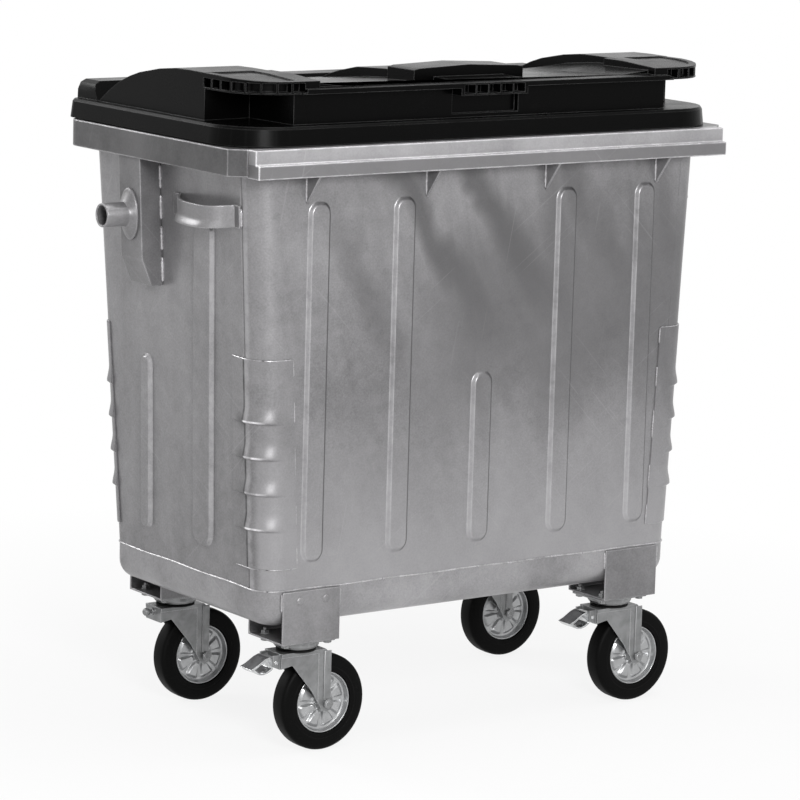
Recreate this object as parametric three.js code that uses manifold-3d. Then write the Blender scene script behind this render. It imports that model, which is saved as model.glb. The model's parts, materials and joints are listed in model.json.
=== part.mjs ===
// Four-wheeled galvanized steel waste container with a flat black plastic lid.
// Millimetres, +Z up, the front (lifting bar) towards -Y, the origin on the floor below the middle.
import * as THREE from 'three';
import { mergeVertices } from 'three/addons/utils/BufferGeometryUtils.js';
import Module from 'manifold-3d';

const wasm = await Module();
wasm.setup();

// ---- Driving dimensions ----
const clearance = 0.3; // between pieces that touch

// Tub: an upright front, sides and rear that lean in towards the tray
const tubFrontY = -305;
const tubHalfTop = 563;
const tubHalfBottom = 521;
const tubRearTop = 309;
const tubRearBottom = 265;
const wallHeight = 886; // from the weld on the tray to the rim's top
const sheet = 2;
const frontCorner = 55;
const rearCorner = 32;

// Pressed beads in the walls
const beadHeight = 8;
const beadSlope = 10;
const beadHalf = 26;
const beadOuterInset = 111; // in from the tub's lower side
const beadInnerX = 204;
const beadTopDrop = 109; // below the rim's top
const beadBottomRise = 52; // above the weld
const beadShortRise = 409;
const sideBeadHalf = 36;
const sideBeadY = -85; // at its foot
const sideBeadTopDrop = 152;
const narrowBeadHalf = 20;
const narrowBeadY = 130;
const narrowBeadRise = 422;
const sideBeadLean = -0.045; // along the wall for each millimetre up it

// Base tray
const trayDepth = 77;
const trayThick = 2.5;
const trayRound = 42;
const drainRadius = 26;

// Corner guards, with heights above the weld
const guardTopRise = 465;
const guardBottomRise = 45;
const guardThick = 2.5;
const guardFrontLeg = 22;
const guardSideLeg = 43;
const guardRibs = 4;
const guardRibHeight = 6;
const guardRibStep = 6; // the sharp lower edge of a rib
const guardRibSwell = 34; // the slow rise above it
const guardRibTopRise = 341;
const guardRibPitch = 72;

// Rim and lifting bar
const rimOverhang = 54.5; // past the tub's side
const rimRearOverhang = 11;
const rimDrop = 54;
const rimPlate = 3;
const rimReturn = 12;
const rimCorner = 40;
const barShort = 31.5; // each end of the bar, less than the rim
const barReach = 48.5; // in front of the tub
const barStep = 12;
const barDepth = 39;
const barLipDrop = 56;
const barLedgeDrop = 28.5;
const gussetThick = 5;
const gussetDrop = 58;
const gussetInnerX = 150;

// Trunnions: a channel on the leaning side wall, an oval collar and a pipe
const pinY = 86;
const pinDrop = 171; // below the rim's top
const pinLength = 67.5; // from the channel's face
const pinRadius = 24.5;
const pinBore = 20;
const collarHalf = 32;
const collarRise = 53;
const collarThick = 4;
const collarCone = 11;
const channelDepth = 48;
const channelEndDepth = 27;
const channelWidth = 80;
const channelPlate = 4;
const channelFaceDrop = 205;
const channelDrop = 261;

// Side handles
const handleDrop = 140; // below the rim's top
const handleHeight = 44;
const handleReach = 54;
const handleRearY = -10;
const handleLength = 240;
const handleFoot = 22;
const handleThick = 5;
const handleFlange = 16;
const handleFlare = 8;

// Castors and their brackets
const wheelRadius = 100;
const castorSetIn = 118; // swivel axis in from the tub's lower side
const castorInset = 62; // swivel axis in from the bracket's outer face
const castorTrail = 57;
const wheelToPlate = 40; // from the top of the wheel to the castor's plate
const plateToTray = 34;
const bracketWidth = 138;
const bracketShift = 6; // outwards from the swivel axis
const bracketPlate = 4;
const headLength = 122;
const headWidth = 100;
const headPlate = 5;
const raceRadius = 47;
const racePocket = 17;
const forkDrop = 26; // below the castor's plate
const forkPlate = 4;
const forkHalf = 31;
const forkFrontX = -54;
const forkWebRecess = 1.5;
const forkBand = 21; // width of the upright band in front of the wheel's centre
const axleRadius = 6;
const tyreHalf = 22.5;
const rimRadius = 64;
const wheelSides = 24; // three to each rib of the disc
const pedalPivotX = -63;
const pedalDrop = 17; // pivot below the fork's top
const pedalReach = 58;
const pedalWidth = 40;
const pedalSheet = 3;
const lockKnobRadius = 9;

// Lid
const lidInset = 7.5; // in from the rim's side
const lidFrontReach = 17; // in front of the tub
const lidRearReach = 18; // behind the rim
const lidCorner = 117;
const lidRearCorner = 32;
const lidGap = 2;
const lidSkirt = 38;
const lidWall = 4;
const domeInset = 27; // in from the lid's side
const domeFrontInset = 34;
const domeRearInset = 91;
const domeFrontRise = 73; // heights above the skirt's ledge
const domeRearRise = 33;
const ridgeWidth = 149;
const ridgeRise = 94;
const notchWidth = 111;
const notchDepth = 146;
const gripUnderRise = 62;
const gripFrontInset = 11;
const gripPanelDepth = 2.5;
const gripPanelInset = 15;
const lipDepth = 32;
const lipThick = 11;
const bulkheadRise = 38;
const bulkheadDepth = 88;
const bulkheadRound = 20;
const midRidgeHalf = 88;
const humpHalf = 137;
const humpSetback = 58;
const humpDepth = 92;
const humpHeight = 21;
const gripRib = 3.5;
const gripCell = 31;
const gripCellHeight = 18;
const gripEndWidth = 131; // from the raised field's side to the pockets' inner end
const middleGripHalf = 83;
const middleGripDepth = 26;
const recessDepth = 13;

// Lid hinge
const hingeSetback = 3;
const hingeRise = 22;
const hingeX = 330;
const hingeBossRadius = 12.5;
const hingeBossHalf = 28;
const hingePinRadius = 5;
const lugThick = 5;
const lugSlot = 66;

// ---- Derived places ----
const castorHeight = 2 * wheelRadius + wheelToPlate;
const trayBottomZ = castorHeight + plateToTray;
const weldZ = trayBottomZ + trayDepth; // where the walls stand on the tray
const rimTopZ = weldZ + wallHeight;
const tubTopZ = rimTopZ - rimPlate - clearance;
const rimBottomZ = rimTopZ - rimDrop;
const along = (low, high, z) => low + ((high - low) * (z - weldZ)) / (tubTopZ - weldZ);
const tubHalf = (z) => along(tubHalfBottom, tubHalfTop, z);
const tubRear = (z) => along(tubRearBottom, tubRearTop, z);

const beadOuterX = tubHalfBottom - beadOuterInset;
const beadTopZ = rimTopZ - beadTopDrop;
const rimHalf = tubHalfTop + rimOverhang;
const rimRearY = tubRearTop + rimRearOverhang;
const barHalf = rimHalf - barShort;
const barFrontY = tubFrontY - barReach;
const pinZ = rimTopZ - pinDrop;
const handleZ = rimTopZ - handleDrop;

const castorX = tubHalfBottom - castorSetIn;
const forkTopZ = castorHeight - forkDrop;
const pedalPivotZ = forkTopZ - pedalDrop;

const lidHalf = rimHalf - lidInset;
const lidFrontY = tubFrontY - lidFrontReach;
const lidRearY = rimRearY + lidRearReach;
const lidBottomZ = rimTopZ + lidGap;
const ledgeZ = lidBottomZ + lidSkirt;
const domeHalf = lidHalf - domeInset;
const domeFrontY = lidFrontY + domeFrontInset;
const domeRearY = lidRearY - domeRearInset;
const domeFrontZ = ledgeZ + domeFrontRise;
const domeRearZ = ledgeZ + domeRearRise;
const ridgeInnerX = domeHalf - ridgeWidth;
const ridgeTopZ = ledgeZ + ridgeRise;
const notchInnerX = domeHalf - notchWidth;
const notchRearY = domeFrontY + notchDepth;
const gripUnderZ = ledgeZ + gripUnderRise;
const gripFrontY = lidFrontY + gripFrontInset;
const gripEndX = domeHalf - gripEndWidth;
const humpFrontY = domeFrontY + humpSetback;
const bulkheadZ = ledgeZ + bulkheadRise;
const bulkheadFrontY = lidRearY - bulkheadDepth;
const hingeY = lidRearY + hingeSetback;
const hingeZ = ledgeZ + hingeRise;

// ---- Materials ----
const galvanized = () => new THREE.MeshStandardMaterial({ color: 0x9a9a9c, roughness: 0.42, metalness: 0.85 });
const zincPlated = () => new THREE.MeshStandardMaterial({ color: 0xb4b6b8, roughness: 0.3, metalness: 0.9 });
const blackPlastic = () => new THREE.MeshStandardMaterial({ color: 0x161616, roughness: 0.45, metalness: 0 });
const rubber = () => new THREE.MeshStandardMaterial({ color: 0x0d0d0d, roughness: 0.7, metalness: 0 });

// ---- Geometry helpers ----
const model = new THREE.Group();

function signedVolume(points, faces) {
  let sum = 0;
  for (const [a, b, c] of faces) {
    sum += points[a].dot(new THREE.Vector3().crossVectors(points[b], points[c]));
  }
  return sum / 6;
}

// A closed solid from points and triangles, turned so that its faces point out
function solidFrom(points, faces) {
  const flip = signedVolume(points, faces) < 0;
  const triVerts = new Uint32Array(faces.flatMap(([a, b, c]) => (flip ? [a, c, b] : [a, b, c])));
  const vertProperties = new Float32Array(points.flatMap((p) => [p.x, p.y, p.z]));
  return new wasm.Manifold(new wasm.Mesh({ numProp: 3, vertProperties, triVerts }));
}

// A closed solid from a closed three.js geometry, moved by a matrix
function solid(geometry, matrix = new THREE.Matrix4()) {
  const bare = geometry.clone().applyMatrix4(matrix);
  bare.deleteAttribute('normal');
  bare.deleteAttribute('uv');
  const merged = mergeVertices(bare, 1e-4);
  const position = merged.attributes.position;
  const points = Array.from({ length: position.count }, (_, i) => new THREE.Vector3().fromBufferAttribute(position, i));
  const index = merged.index.array;
  const faces = [];
  for (let i = 0; i < index.length; i += 3) {
    const [a, b, c] = [index[i], index[i + 1], index[i + 2]];
    if (a !== b && b !== c && c !== a) faces.push([a, b, c]);
  }
  return solidFrom(points, faces);
}

function box(x0, x1, y0, y1, z0, z1) {
  const geometry = new THREE.BoxGeometry(x1 - x0, y1 - y0, z1 - z0);
  return solid(geometry, new THREE.Matrix4().makeTranslation((x0 + x1) / 2, (y0 + y1) / 2, (z0 + z1) / 2));
}

// Extrusion of a flat outline; the plane's two axes and the extrusion's start are named by the plane
const planes = {
  xy: (start) => new THREE.Matrix4().makeTranslation(0, 0, start),
  xz: (start) => new THREE.Matrix4().set(1, 0, 0, 0, 0, 0, 1, start, 0, 1, 0, 0, 0, 0, 0, 1),
  yz: (start) => new THREE.Matrix4().set(0, 0, 1, start, 1, 0, 0, 0, 0, 1, 0, 0, 0, 0, 0, 1),
};
function prism(outline, plane, start, end, curveSegments = 8) {
  const shape = outline instanceof THREE.Shape ? outline : new THREE.Shape(outline.map(([u, v]) => new THREE.Vector2(u, v)));
  const geometry = new THREE.ExtrudeGeometry(shape, { depth: end - start, bevelEnabled: false, curveSegments });
  return solid(geometry, planes[plane](start));
}

// A cylinder along X, Y or Z from one coordinate to another
const turns = {
  x: new THREE.Matrix4().makeRotationZ(-Math.PI / 2),
  y: new THREE.Matrix4(),
  z: new THREE.Matrix4().makeRotationX(Math.PI / 2),
};
function rod(axis, radius, from, to, [p, q], sides = 24) {
  const centre = { x: [(from + to) / 2, p, q], y: [p, (from + to) / 2, q], z: [p, q, (from + to) / 2] }[axis];
  const geometry = new THREE.CylinderGeometry(radius, radius, Math.abs(to - from), sides);
  return solid(geometry, new THREE.Matrix4().makeTranslation(...centre).multiply(turns[axis]));
}

// A skin through rings of equal length, closed by a flat cap at each end
function loft(rings) {
  const count = rings[0].length;
  const points = rings.flat();
  const faces = [];
  for (let r = 0; r < rings.length - 1; r++) {
    for (let i = 0; i < count; i++) {
      const a = r * count + i;
      const b = r * count + ((i + 1) % count);
      faces.push([a, b, b + count], [a, b + count, a + count]);
    }
  }
  const last = (rings.length - 1) * count;
  for (const [a, b, c] of capTriangles(rings[0])) faces.push([c, b, a]);
  for (const [a, b, c] of capTriangles(rings.at(-1))) faces.push([last + a, last + b, last + c]);
  return solidFrom(points, faces);
}

function capTriangles(ring) {
  const normal = new THREE.Vector3();
  ring.forEach((p, i) => normal.add(new THREE.Vector3().crossVectors(p, ring[(i + 1) % ring.length])));
  const turn = new THREE.Quaternion().setFromUnitVectors(normal.normalize(), new THREE.Vector3(0, 0, 1));
  const flat = ring.map((p) => p.clone().applyQuaternion(turn)).map((p) => new THREE.Vector2(p.x, p.y));
  return THREE.ShapeUtils.triangulateShape(flat, []);
}

// A sheet between two grids of points: outer[i][j] and inner[i][j]
function sheetBetween(outer, inner) {
  const rows = outer.length;
  const columns = outer[0].length;
  const points = [...outer.flat(), ...inner.flat()];
  const at = (i, j, side) => side * rows * columns + i * columns + j;
  const faces = [];
  for (let i = 0; i < rows - 1; i++) {
    for (let j = 0; j < columns - 1; j++) {
      faces.push([at(i, j, 0), at(i + 1, j, 0), at(i + 1, j + 1, 0)], [at(i, j, 0), at(i + 1, j + 1, 0), at(i, j + 1, 0)]);
      faces.push([at(i, j, 1), at(i + 1, j + 1, 1), at(i + 1, j, 1)], [at(i, j, 1), at(i, j + 1, 1), at(i + 1, j + 1, 1)]);
    }
  }
  const edge = (a, b) => faces.push([at(...a, 1), at(...b, 1), at(...b, 0)], [at(...a, 1), at(...b, 0), at(...a, 0)]);
  for (let i = 0; i < rows - 1; i++) {
    edge([i, 0], [i + 1, 0]);
    edge([i + 1, columns - 1], [i, columns - 1]);
  }
  for (let j = 0; j < columns - 1; j++) {
    edge([0, j + 1], [0, j]);
    edge([rows - 1, j], [rows - 1, j + 1]);
  }
  return solidFrom(points, faces);
}

function toGeometry(manifold) {
  const mesh = manifold.getMesh();
  const geometry = new THREE.BufferGeometry();
  geometry.setAttribute('position', new THREE.BufferAttribute(new Float32Array(mesh.vertProperties), 3));
  geometry.setIndex(Array.from(mesh.triVerts));
  return geometry;
}

function mirrored(geometry) {
  const copy = geometry.clone().scale(-1, 1, 1);
  const index = copy.index.array;
  for (let i = 0; i < index.length; i += 3) [index[i + 1], index[i + 2]] = [index[i + 2], index[i + 1]];
  return copy;
}

function addMesh(name, geometry, material, place = [0, 0, 0]) {
  const shown = geometry.toNonIndexed();
  shown.computeVertexNormals();
  const mesh = new THREE.Mesh(shown, material);
  mesh.name = name;
  mesh.position.set(...place);
  model.add(mesh);
}

const add = (name, manifold, material, place) => addMesh(name, toGeometry(manifold), material, place);

// The same piece on both sides, modelled on the right (+X)
function addPair(name, manifold, material) {
  const geometry = toGeometry(manifold);
  addMesh(`${name}_right`, geometry, material());
  addMesh(`${name}_left`, mirrored(geometry), material());
}

const vec = (x, y, z) => new THREE.Vector3(x, y, z);
const arc = (cx, cy, radius, from, to, steps) =>
  Array.from({ length: steps + 1 }, (_, k) => {
    const angle = THREE.MathUtils.degToRad(from + ((to - from) * k) / steps);
    return [cx + radius * Math.cos(angle), cy + radius * Math.sin(angle)];
  });

// A rectangle with its own corner radii at the front and the rear, anticlockwise from the front right
function roundedPlan(half, front, rear, frontRadius, rearRadius, steps = 4) {
  const right = [
    ...arc(half - frontRadius, front + frontRadius, frontRadius, -90, 0, steps),
    ...arc(half - rearRadius, rear - rearRadius, rearRadius, 0, 90, steps),
  ];
  return [...right, ...right.map(([x, y]) => [-x, y]).reverse()];
}
const planRing = (plan, z) => plan.map(([x, y]) => vec(x, y, z));

// ---- Wall beads ----
// A wall frame has its origin on the outer face, u along the wall, v up the wall and n outwards
function wallFrame(origin, u, v) {
  const n = new THREE.Vector3().crossVectors(u, v).normalize();
  return (a, b, c) => origin.clone().addScaledVector(u, a).addScaledVector(v, b).addScaledVector(n, c);
}

function beadRing(at, u, v0, v1, half, inset, height, lean) {
  const radius = half - inset;
  const ends = [...arc(0, v1 - half, radius, 0, 180, 4), ...arc(0, v0 + half, radius, 180, 360, 4)];
  return ends.map(([a, b]) => at(u + a + lean * (b - v0), b, height));
}

// Presses hollow round-ended beads outwards into a wall; each bead is { u, v0, v1, half, lean }
function pressBeads(wall, at, beads) {
  let pressed = wall;
  for (const { u, v0, v1, half, lean = 0 } of beads) {
    const ring = (inset, height) => beadRing(at, u, v0, v1, half, inset, height, lean);
    const outer = loft([ring(0, -sheet / 2), ring(beadSlope, beadHeight)]);
    const inner = loft([ring(sheet, -sheet - 1), ring(beadSlope + sheet, beadHeight - sheet)]);
    pressed = pressed.add(outer).subtract(inner);
  }
  return pressed;
}

// ---- Tub ----
const beadLength = { v0: beadBottomRise, v1: beadTopZ - weldZ };
const wallBottomZ = weldZ + clearance;

function frontWall() {
  const edge = (z) => tubHalf(z) - frontCorner - clearance;
  const outline = [
    [-edge(wallBottomZ), wallBottomZ],
    [edge(wallBottomZ), wallBottomZ],
    [edge(tubTopZ), tubTopZ],
    [-edge(tubTopZ), tubTopZ],
  ];
  const plate = prism(outline, 'xz', tubFrontY, tubFrontY + sheet);
  const at = wallFrame(vec(0, tubFrontY, weldZ), vec(1, 0, 0), vec(0, 0, 1));
  const tall = [-beadOuterX, -beadInnerX, beadInnerX, beadOuterX];
  const beads = tall.map((u) => ({ u, ...beadLength, half: beadHalf }));
  beads.push({ u: 0, v0: beadBottomRise, v1: beadShortRise, half: beadHalf });
  return pressBeads(plate, at, beads);
}

function rearWall() {
  const corner = (side, z, depth) => vec(side * (tubHalf(z) - rearCorner - clearance), tubRear(z) - depth, z);
  const face = (depth) => [1, -1].map((side) => [wallBottomZ, tubTopZ].map((z) => corner(side, z, depth)));
  const up = vec(0, tubRearTop - tubRearBottom, tubTopZ - weldZ).normalize();
  const at = wallFrame(vec(0, tubRearBottom, weldZ), vec(-1, 0, 0), up);
  const beads = [-beadOuterX, -beadInnerX, beadInnerX, beadOuterX].map((u) => ({ u, ...beadLength, half: beadHalf }));
  return pressBeads(sheetBetween(face(0), face(sheet)), at, beads);
}

function sideWallRight() {
  const path = (z, inset) =>
    roundedPlan(tubHalf(z) - inset, tubFrontY + inset, tubRear(z) - inset, frontCorner - inset, rearCorner - inset)
      .slice(0, 10)
      .map(([x, y]) => vec(x, y, z));
  const columns = (inset) => {
    const low = path(wallBottomZ, inset);
    const high = path(tubTopZ, inset);
    return low.map((p, i) => [p, high[i]]);
  };
  const up = vec(tubHalfTop - tubHalfBottom, 0, tubTopZ - weldZ).normalize();
  const at = wallFrame(vec(tubHalfBottom, 0, weldZ), vec(0, 1, 0), up);
  const beads = [
    { u: sideBeadY, v0: beadBottomRise, v1: wallHeight - sideBeadTopDrop, half: sideBeadHalf },
    { u: narrowBeadY, v0: beadBottomRise, v1: narrowBeadRise, half: narrowBeadHalf },
  ];
  return pressBeads(sheetBetween(columns(0), columns(sheet)), at, beads.map((bead) => ({ ...bead, lean: sideBeadLean })));
}

function baseTray() {
  const ring = (inset, z) => {
    const plan = roundedPlan(
      tubHalfBottom - inset, tubFrontY + inset, tubRearBottom - inset,
      Math.max(frontCorner - inset, 6), Math.max(rearCorner - inset, 6),
    );
    return planRing(plan, z);
  };
  const dish = (skin, top) => {
    const radius = trayRound - skin;
    const rounds = [0, 30, 60, 90].map((angle) => {
      const [run, rise] = [Math.cos(THREE.MathUtils.degToRad(angle)), Math.sin(THREE.MathUtils.degToRad(angle))];
      return ring(skin + radius * (1 - run), trayBottomZ + skin + radius * (1 - rise));
    });
    return loft([ring(skin, top), ...rounds]);
  };
  const shell = dish(0, weldZ).subtract(dish(trayThick, weldZ + 1));
  return shell.subtract(rod('z', drainRadius, trayBottomZ - 5, trayBottomZ + trayThick + 5, [0, 0]));
}

function drainPlug() {
  const neck = drainRadius - clearance;
  const flange = drainRadius + 9;
  const under = trayBottomZ - clearance;
  const body = rod('z', neck, under - 1, trayBottomZ + trayThick + 8, [0, 0]);
  const head = rod('z', flange, under - 6, under, [0, 0], 16);
  const grip = box(-flange * 0.7, flange * 0.7, -4, 4, under - 14, under - 5);
  return body.add(head).add(grip);
}

add('front_wall', frontWall(), galvanized());
add('rear_wall', rearWall(), galvanized());
addPair('side_wall', sideWallRight(), galvanized);
add('base_tray', baseTray(), galvanized());
add('drain_plug', drainPlug(), blackPlastic());

// ---- Corner guards: plates wrapped round the lower corners, with pressed ribs ----
function guardPath(z, offset, end) {
  const radius = end === 'front' ? frontCorner : rearCorner;
  const half = tubHalf(z) + offset;
  const edgeX = tubHalf(z) - radius - guardFrontLeg;
  const turned = arc(half - radius - offset, 0, radius + offset, 0, 90, 4);
  const run = [[half, -guardSideLeg], [half, 0], ...turned.slice(1), [edgeX, radius + offset]];
  if (end === 'rear') run.splice(0, 2); // the rear guards start on the corner
  const y = (v) => (end === 'front' ? tubFrontY + radius - v : tubRear(z) - radius + v);
  return run.map(([x, v]) => vec(x, y(v), z));
}

function cornerGuardRight(end) {
  const levels = [[weldZ + guardBottomRise, 0]];
  for (let k = guardRibs - 1; k >= 0; k--) {
    const z = weldZ + guardRibTopRise - k * guardRibPitch;
    levels.push([z - guardRibStep, 0], [z, 1], [z + guardRibSwell, 0]);
  }
  levels.push([weldZ + guardTopRise, 0]);
  const fade = end === 'front' ? [0.4, 1, 1, 1, 0.6, 0, 0] : [0.6, 1, 1, 0.4, 0];
  const rows = (thick, rib) => {
    const columns = levels.map(([z, swell]) => fade.map((f, i) => guardPath(z, thick + rib * swell * f, end)[i]));
    return fade.map((_, i) => columns.map((column) => column[i]));
  };
  return sheetBetween(rows(clearance + guardThick, guardRibHeight), rows(clearance, 0));
}

for (const end of ['front', 'rear']) addPair(`corner_guard_${end}`, cornerGuardRight(end), galvanized);

// ---- Rim and lifting bar ----
const barBackY = barFrontY + barDepth;
const rimInner = sheet + 3;

function rimPlan(inset) {
  const chamferX = barHalf - inset * 0.4;
  const chamferY = barBackY + inset;
  const right = [
    [chamferX, chamferY],
    [rimHalf - inset, chamferY + (rimHalf - barHalf) * 0.8],
    ...arc(rimHalf - rimCorner, rimRearY - rimCorner, rimCorner - inset, 0, 90, 5),
  ];
  return [...right, ...right.map(([x, y]) => [-x, y]).reverse()];
}

const tubHole = (z0, z1) =>
  prism(
    roundedPlan(tubHalfTop - rimInner, tubFrontY + rimInner, tubRearTop - rimInner, frontCorner, rearCorner),
    'xy', z0, z1,
  );

function rimRing() {
  const body = prism(rimPlan(0), 'xy', rimBottomZ, rimTopZ);
  const under = prism(rimPlan(rimPlate), 'xy', rimBottomZ + rimPlate, rimTopZ - rimPlate);
  const mouth = prism(rimPlan(rimReturn), 'xy', rimBottomZ - 1, rimBottomZ + rimPlate + 1);
  return body.subtract(under).subtract(mouth).subtract(tubHole(rimBottomZ - 1, rimTopZ + 1));
}

const far = 2000; // past every piece
const rimFrontSplit = tubHalfTop - frontCorner;
const rimRearSplit = tubHalfTop - rearCorner;

function rimRight() {
  const side = box(rimFrontSplit + clearance, far, barBackY + clearance, far, 0, far);
  const rear = box(-far, rimRearSplit + clearance, 0, far, 0, far);
  return rimRing().intersect(side).subtract(rear).subtract(tubClearance());
}

// Room for the tub's outer faces below the rim's top plate
function tubClearance() {
  const ring = (z) => {
    const plan = roundedPlan(
      tubHalf(z) + clearance, tubFrontY - clearance, tubRear(z) + clearance, frontCorner, rearCorner,
    );
    return planRing(plan, z);
  };
  const bottom = rimBottomZ - 10;
  return loft([ring(bottom), ring(tubTopZ + clearance)]);
}

function rimRear() {
  const strip = box(-rimRearSplit, rimRearSplit, 0, far, 0, far);
  return rimRing().intersect(strip).subtract(tubClearance());
}

const barTopBackY = tubFrontY + rimInner;
function combBar() {
  const lipZ = rimTopZ - barLipDrop;
  const ledge = rimTopZ - barLedgeDrop;
  const outer = [
    [barFrontY, lipZ], [barFrontY, ledge], [barFrontY + barStep, ledge], [barFrontY + barStep, rimTopZ],
    [barBackY, rimTopZ], [barBackY, lipZ],
  ];
  const inner = [
    [barFrontY + rimPlate, lipZ - 1], [barFrontY + rimPlate, ledge - rimPlate],
    [barFrontY + barStep + rimPlate, ledge - rimPlate], [barFrontY + barStep + rimPlate, rimTopZ - rimPlate],
    [barBackY + 1, rimTopZ - rimPlate], [barBackY + 1, lipZ - 1],
  ];
  const bar = prism(outer, 'yz', -barHalf, barHalf).subtract(prism(inner, 'yz', rimPlate - barHalf, barHalf - rimPlate));
  const top = box(-rimFrontSplit, rimFrontSplit, barBackY - 2, barTopBackY, rimTopZ - rimPlate, rimTopZ);
  return bar.add(top);
}

function gusset(x) {
  const wallY = tubFrontY - clearance;
  const lipY = barFrontY + rimPlate + clearance;
  const lipZ = rimTopZ - barLipDrop;
  const topZ = rimTopZ - barLedgeDrop - rimPlate - clearance;
  const outline = [[wallY, lipZ - gussetDrop], [wallY, topZ], [lipY, topZ], [lipY, lipZ]];
  return prism(outline, 'yz', x - gussetThick / 2, x + gussetThick / 2);
}

addPair('rim', rimRight(), galvanized);
add('rim_rear', rimRear(), galvanized());
add('comb_bar', combBar(), galvanized());
const gussetOuterX = beadOuterX + beadHalf + gussetThick / 2 + 1;
addPair('comb_gusset_outer', gusset(gussetOuterX), galvanized);
addPair('comb_gusset_inner', gusset(gussetInnerX), galvanized);

// ---- Trunnions ----
const channelOuter = (z, depth = channelDepth) => tubHalf(z) + clearance + depth;

function trunnionChannel() {
  const topZ = rimBottomZ - clearance;
  const faceEndZ = topZ - channelFaceDrop;
  const endZ = topZ - channelDrop;
  const outline = (skin, sunk, rise) => [
    [channelOuter(topZ) - skin, topZ + rise], [channelOuter(faceEndZ) - skin, faceEndZ + skin * 0.3],
    [channelOuter(endZ, channelEndDepth) - skin * 1.2, endZ + skin],
    [channelOuter(endZ, -sunk), endZ + skin], [channelOuter(topZ, -sunk), topZ + rise],
  ];
  const [y0, y1] = [pinY - channelWidth / 2, pinY + channelWidth / 2];
  const hollow = prism(outline(channelPlate, 20, 1), 'xz', y0 + channelPlate, y1 - channelPlate);
  return prism(outline(0, 0, 0), 'xz', y0, y1).subtract(hollow);
}

// An oval collar that lies on the leaning face, coned up to a pipe that points straight out
function trunnionPin() {
  const sides = 20;
  const faceX = (z) => channelOuter(z) + clearance;
  const oval = (half, rise, off) =>
    Array.from({ length: sides }, (_, k) => {
      const angle = (2 * Math.PI * k) / sides;
      const z = pinZ + rise * Math.sin(angle);
      return vec(faceX(z) + off, pinY + half * Math.cos(angle), z);
    });
  const collar = loft([
    oval(collarHalf, collarRise, 0), oval(collarHalf, collarRise, collarThick),
    oval(pinRadius + 1, pinRadius + 3, collarThick + collarCone),
  ]);
  const endX = channelOuter(pinZ) + pinLength;
  const rootX = faceX(pinZ) + collarThick;
  const pipe = rod('x', pinRadius, rootX, endX, [pinY, pinZ], sides);
  return collar.add(pipe).subtract(rod('x', pinBore, rootX + 1, endX + 1, [pinY, pinZ], sides));
}

addPair('trunnion_bracket', trunnionChannel(), galvanized);
addPair('trunnion_pin', trunnionPin(), galvanized);

// ---- Side handles: a flat strap bent out from the leaning side wall ----
function sideHandle() {
  const up = vec(tubHalfTop - tubHalfBottom, 0, tubTopZ - weldZ).normalize();
  const at = wallFrame(vec(tubHalf(handleZ), 0, handleZ), vec(0, 1, 0), up);
  const frontY = handleRearY - handleLength;
  const foot = clearance + handleThick / 2;
  const line = [
    [handleRearY, foot], [handleRearY - handleFoot, foot], [handleRearY - handleLength * 0.36, handleReach * 0.76],
    [handleRearY - handleLength * 0.62, handleReach], [handleRearY - handleLength * 0.82, handleReach * 0.92],
    [frontY + handleFoot, foot], [frontY, foot],
  ];
  const mitre = line.map((p, i) => {
    const dir = (a, b) => new THREE.Vector2(b[0] - a[0], b[1] - a[1]).normalize();
    const before = dir(line[Math.max(i - 1, 0)], line[Math.max(i, 1)]);
    const after = dir(line[Math.min(i, line.length - 2)], line[Math.min(i + 1, line.length - 1)]);
    const n1 = new THREE.Vector2(before.y, -before.x);
    const n2 = new THREE.Vector2(after.y, -after.x);
    return n1.clone().add(n2).divideScalar(1 + n1.dot(n2));
  });
  // The lower edge is flared outwards except at the feet and down the front leg
  const flared = [0, 1, 1, 1, 1, 0, 0];
  const half = handleHeight / 2;
  const rings = line.map(([u, n], i) => {
    const point = (offset, v) => at(u + mitre[i].x * offset, v, n + mitre[i].y * offset);
    const skin = (offset) => [
      point(offset + handleFlare * flared[i], -half), point(offset, handleFlange - half), point(offset, half),
    ];
    return [...skin(-handleThick / 2), ...skin(handleThick / 2).reverse()];
  });
  return loft(rings);
}

addPair('side_handle', sideHandle(), galvanized);

// ---- Castors ----
const ends = {
  front: { sign: -1, face: tubFrontY - clearance - bracketPlate },
  rear: { sign: 1, face: tubRearBottom + clearance + bracketPlate },
};
for (const end of Object.values(ends)) end.swivelY = end.face - end.sign * castorInset;

// A bent plate: welded to the tray's face, down, under the castor and up to the tray's floor
function castorBracket({ sign, face }) {
  const inward = (d) => face - sign * d;
  const depth = castorInset * 2;
  const low = castorHeight;
  const underTray = trayBottomZ - clearance;
  const outline = [
    [inward(0), weldZ - 3], [inward(0), low], [inward(depth), low], [inward(depth), underTray],
    [inward(depth - bracketPlate), underTray], [inward(depth - bracketPlate), low + bracketPlate],
    [inward(bracketPlate), low + bracketPlate], [inward(bracketPlate), weldZ - 3],
  ];
  const middle = castorX + bracketShift;
  return prism(outline, 'yz', middle - bracketWidth / 2, middle + bracketWidth / 2);
}

// Local to a castor: the swivel axis at x = y = 0, the floor at z = 0
const headTopZ = castorHeight - clearance;

function castorHead() {
  const plate = box(-headLength / 2, headLength / 2, -headWidth / 2, headWidth / 2, headTopZ - headPlate, headTopZ);
  const raceTop = headTopZ - headPlate;
  const bowl = new THREE.LatheGeometry(
    [[0, raceTop + 1], [raceRadius, raceTop + 1], [raceRadius, raceTop - racePocket * 0.5],
      [raceRadius - 5, raceTop - racePocket * 0.85], [raceRadius - 15, raceTop - racePocket],
      [0, raceTop - racePocket]].map(([r, z]) => new THREE.Vector2(r, z)),
    16,
  );
  return plate.add(solid(bowl, new THREE.Matrix4().makeRotationX(Math.PI / 2)));
}

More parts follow.
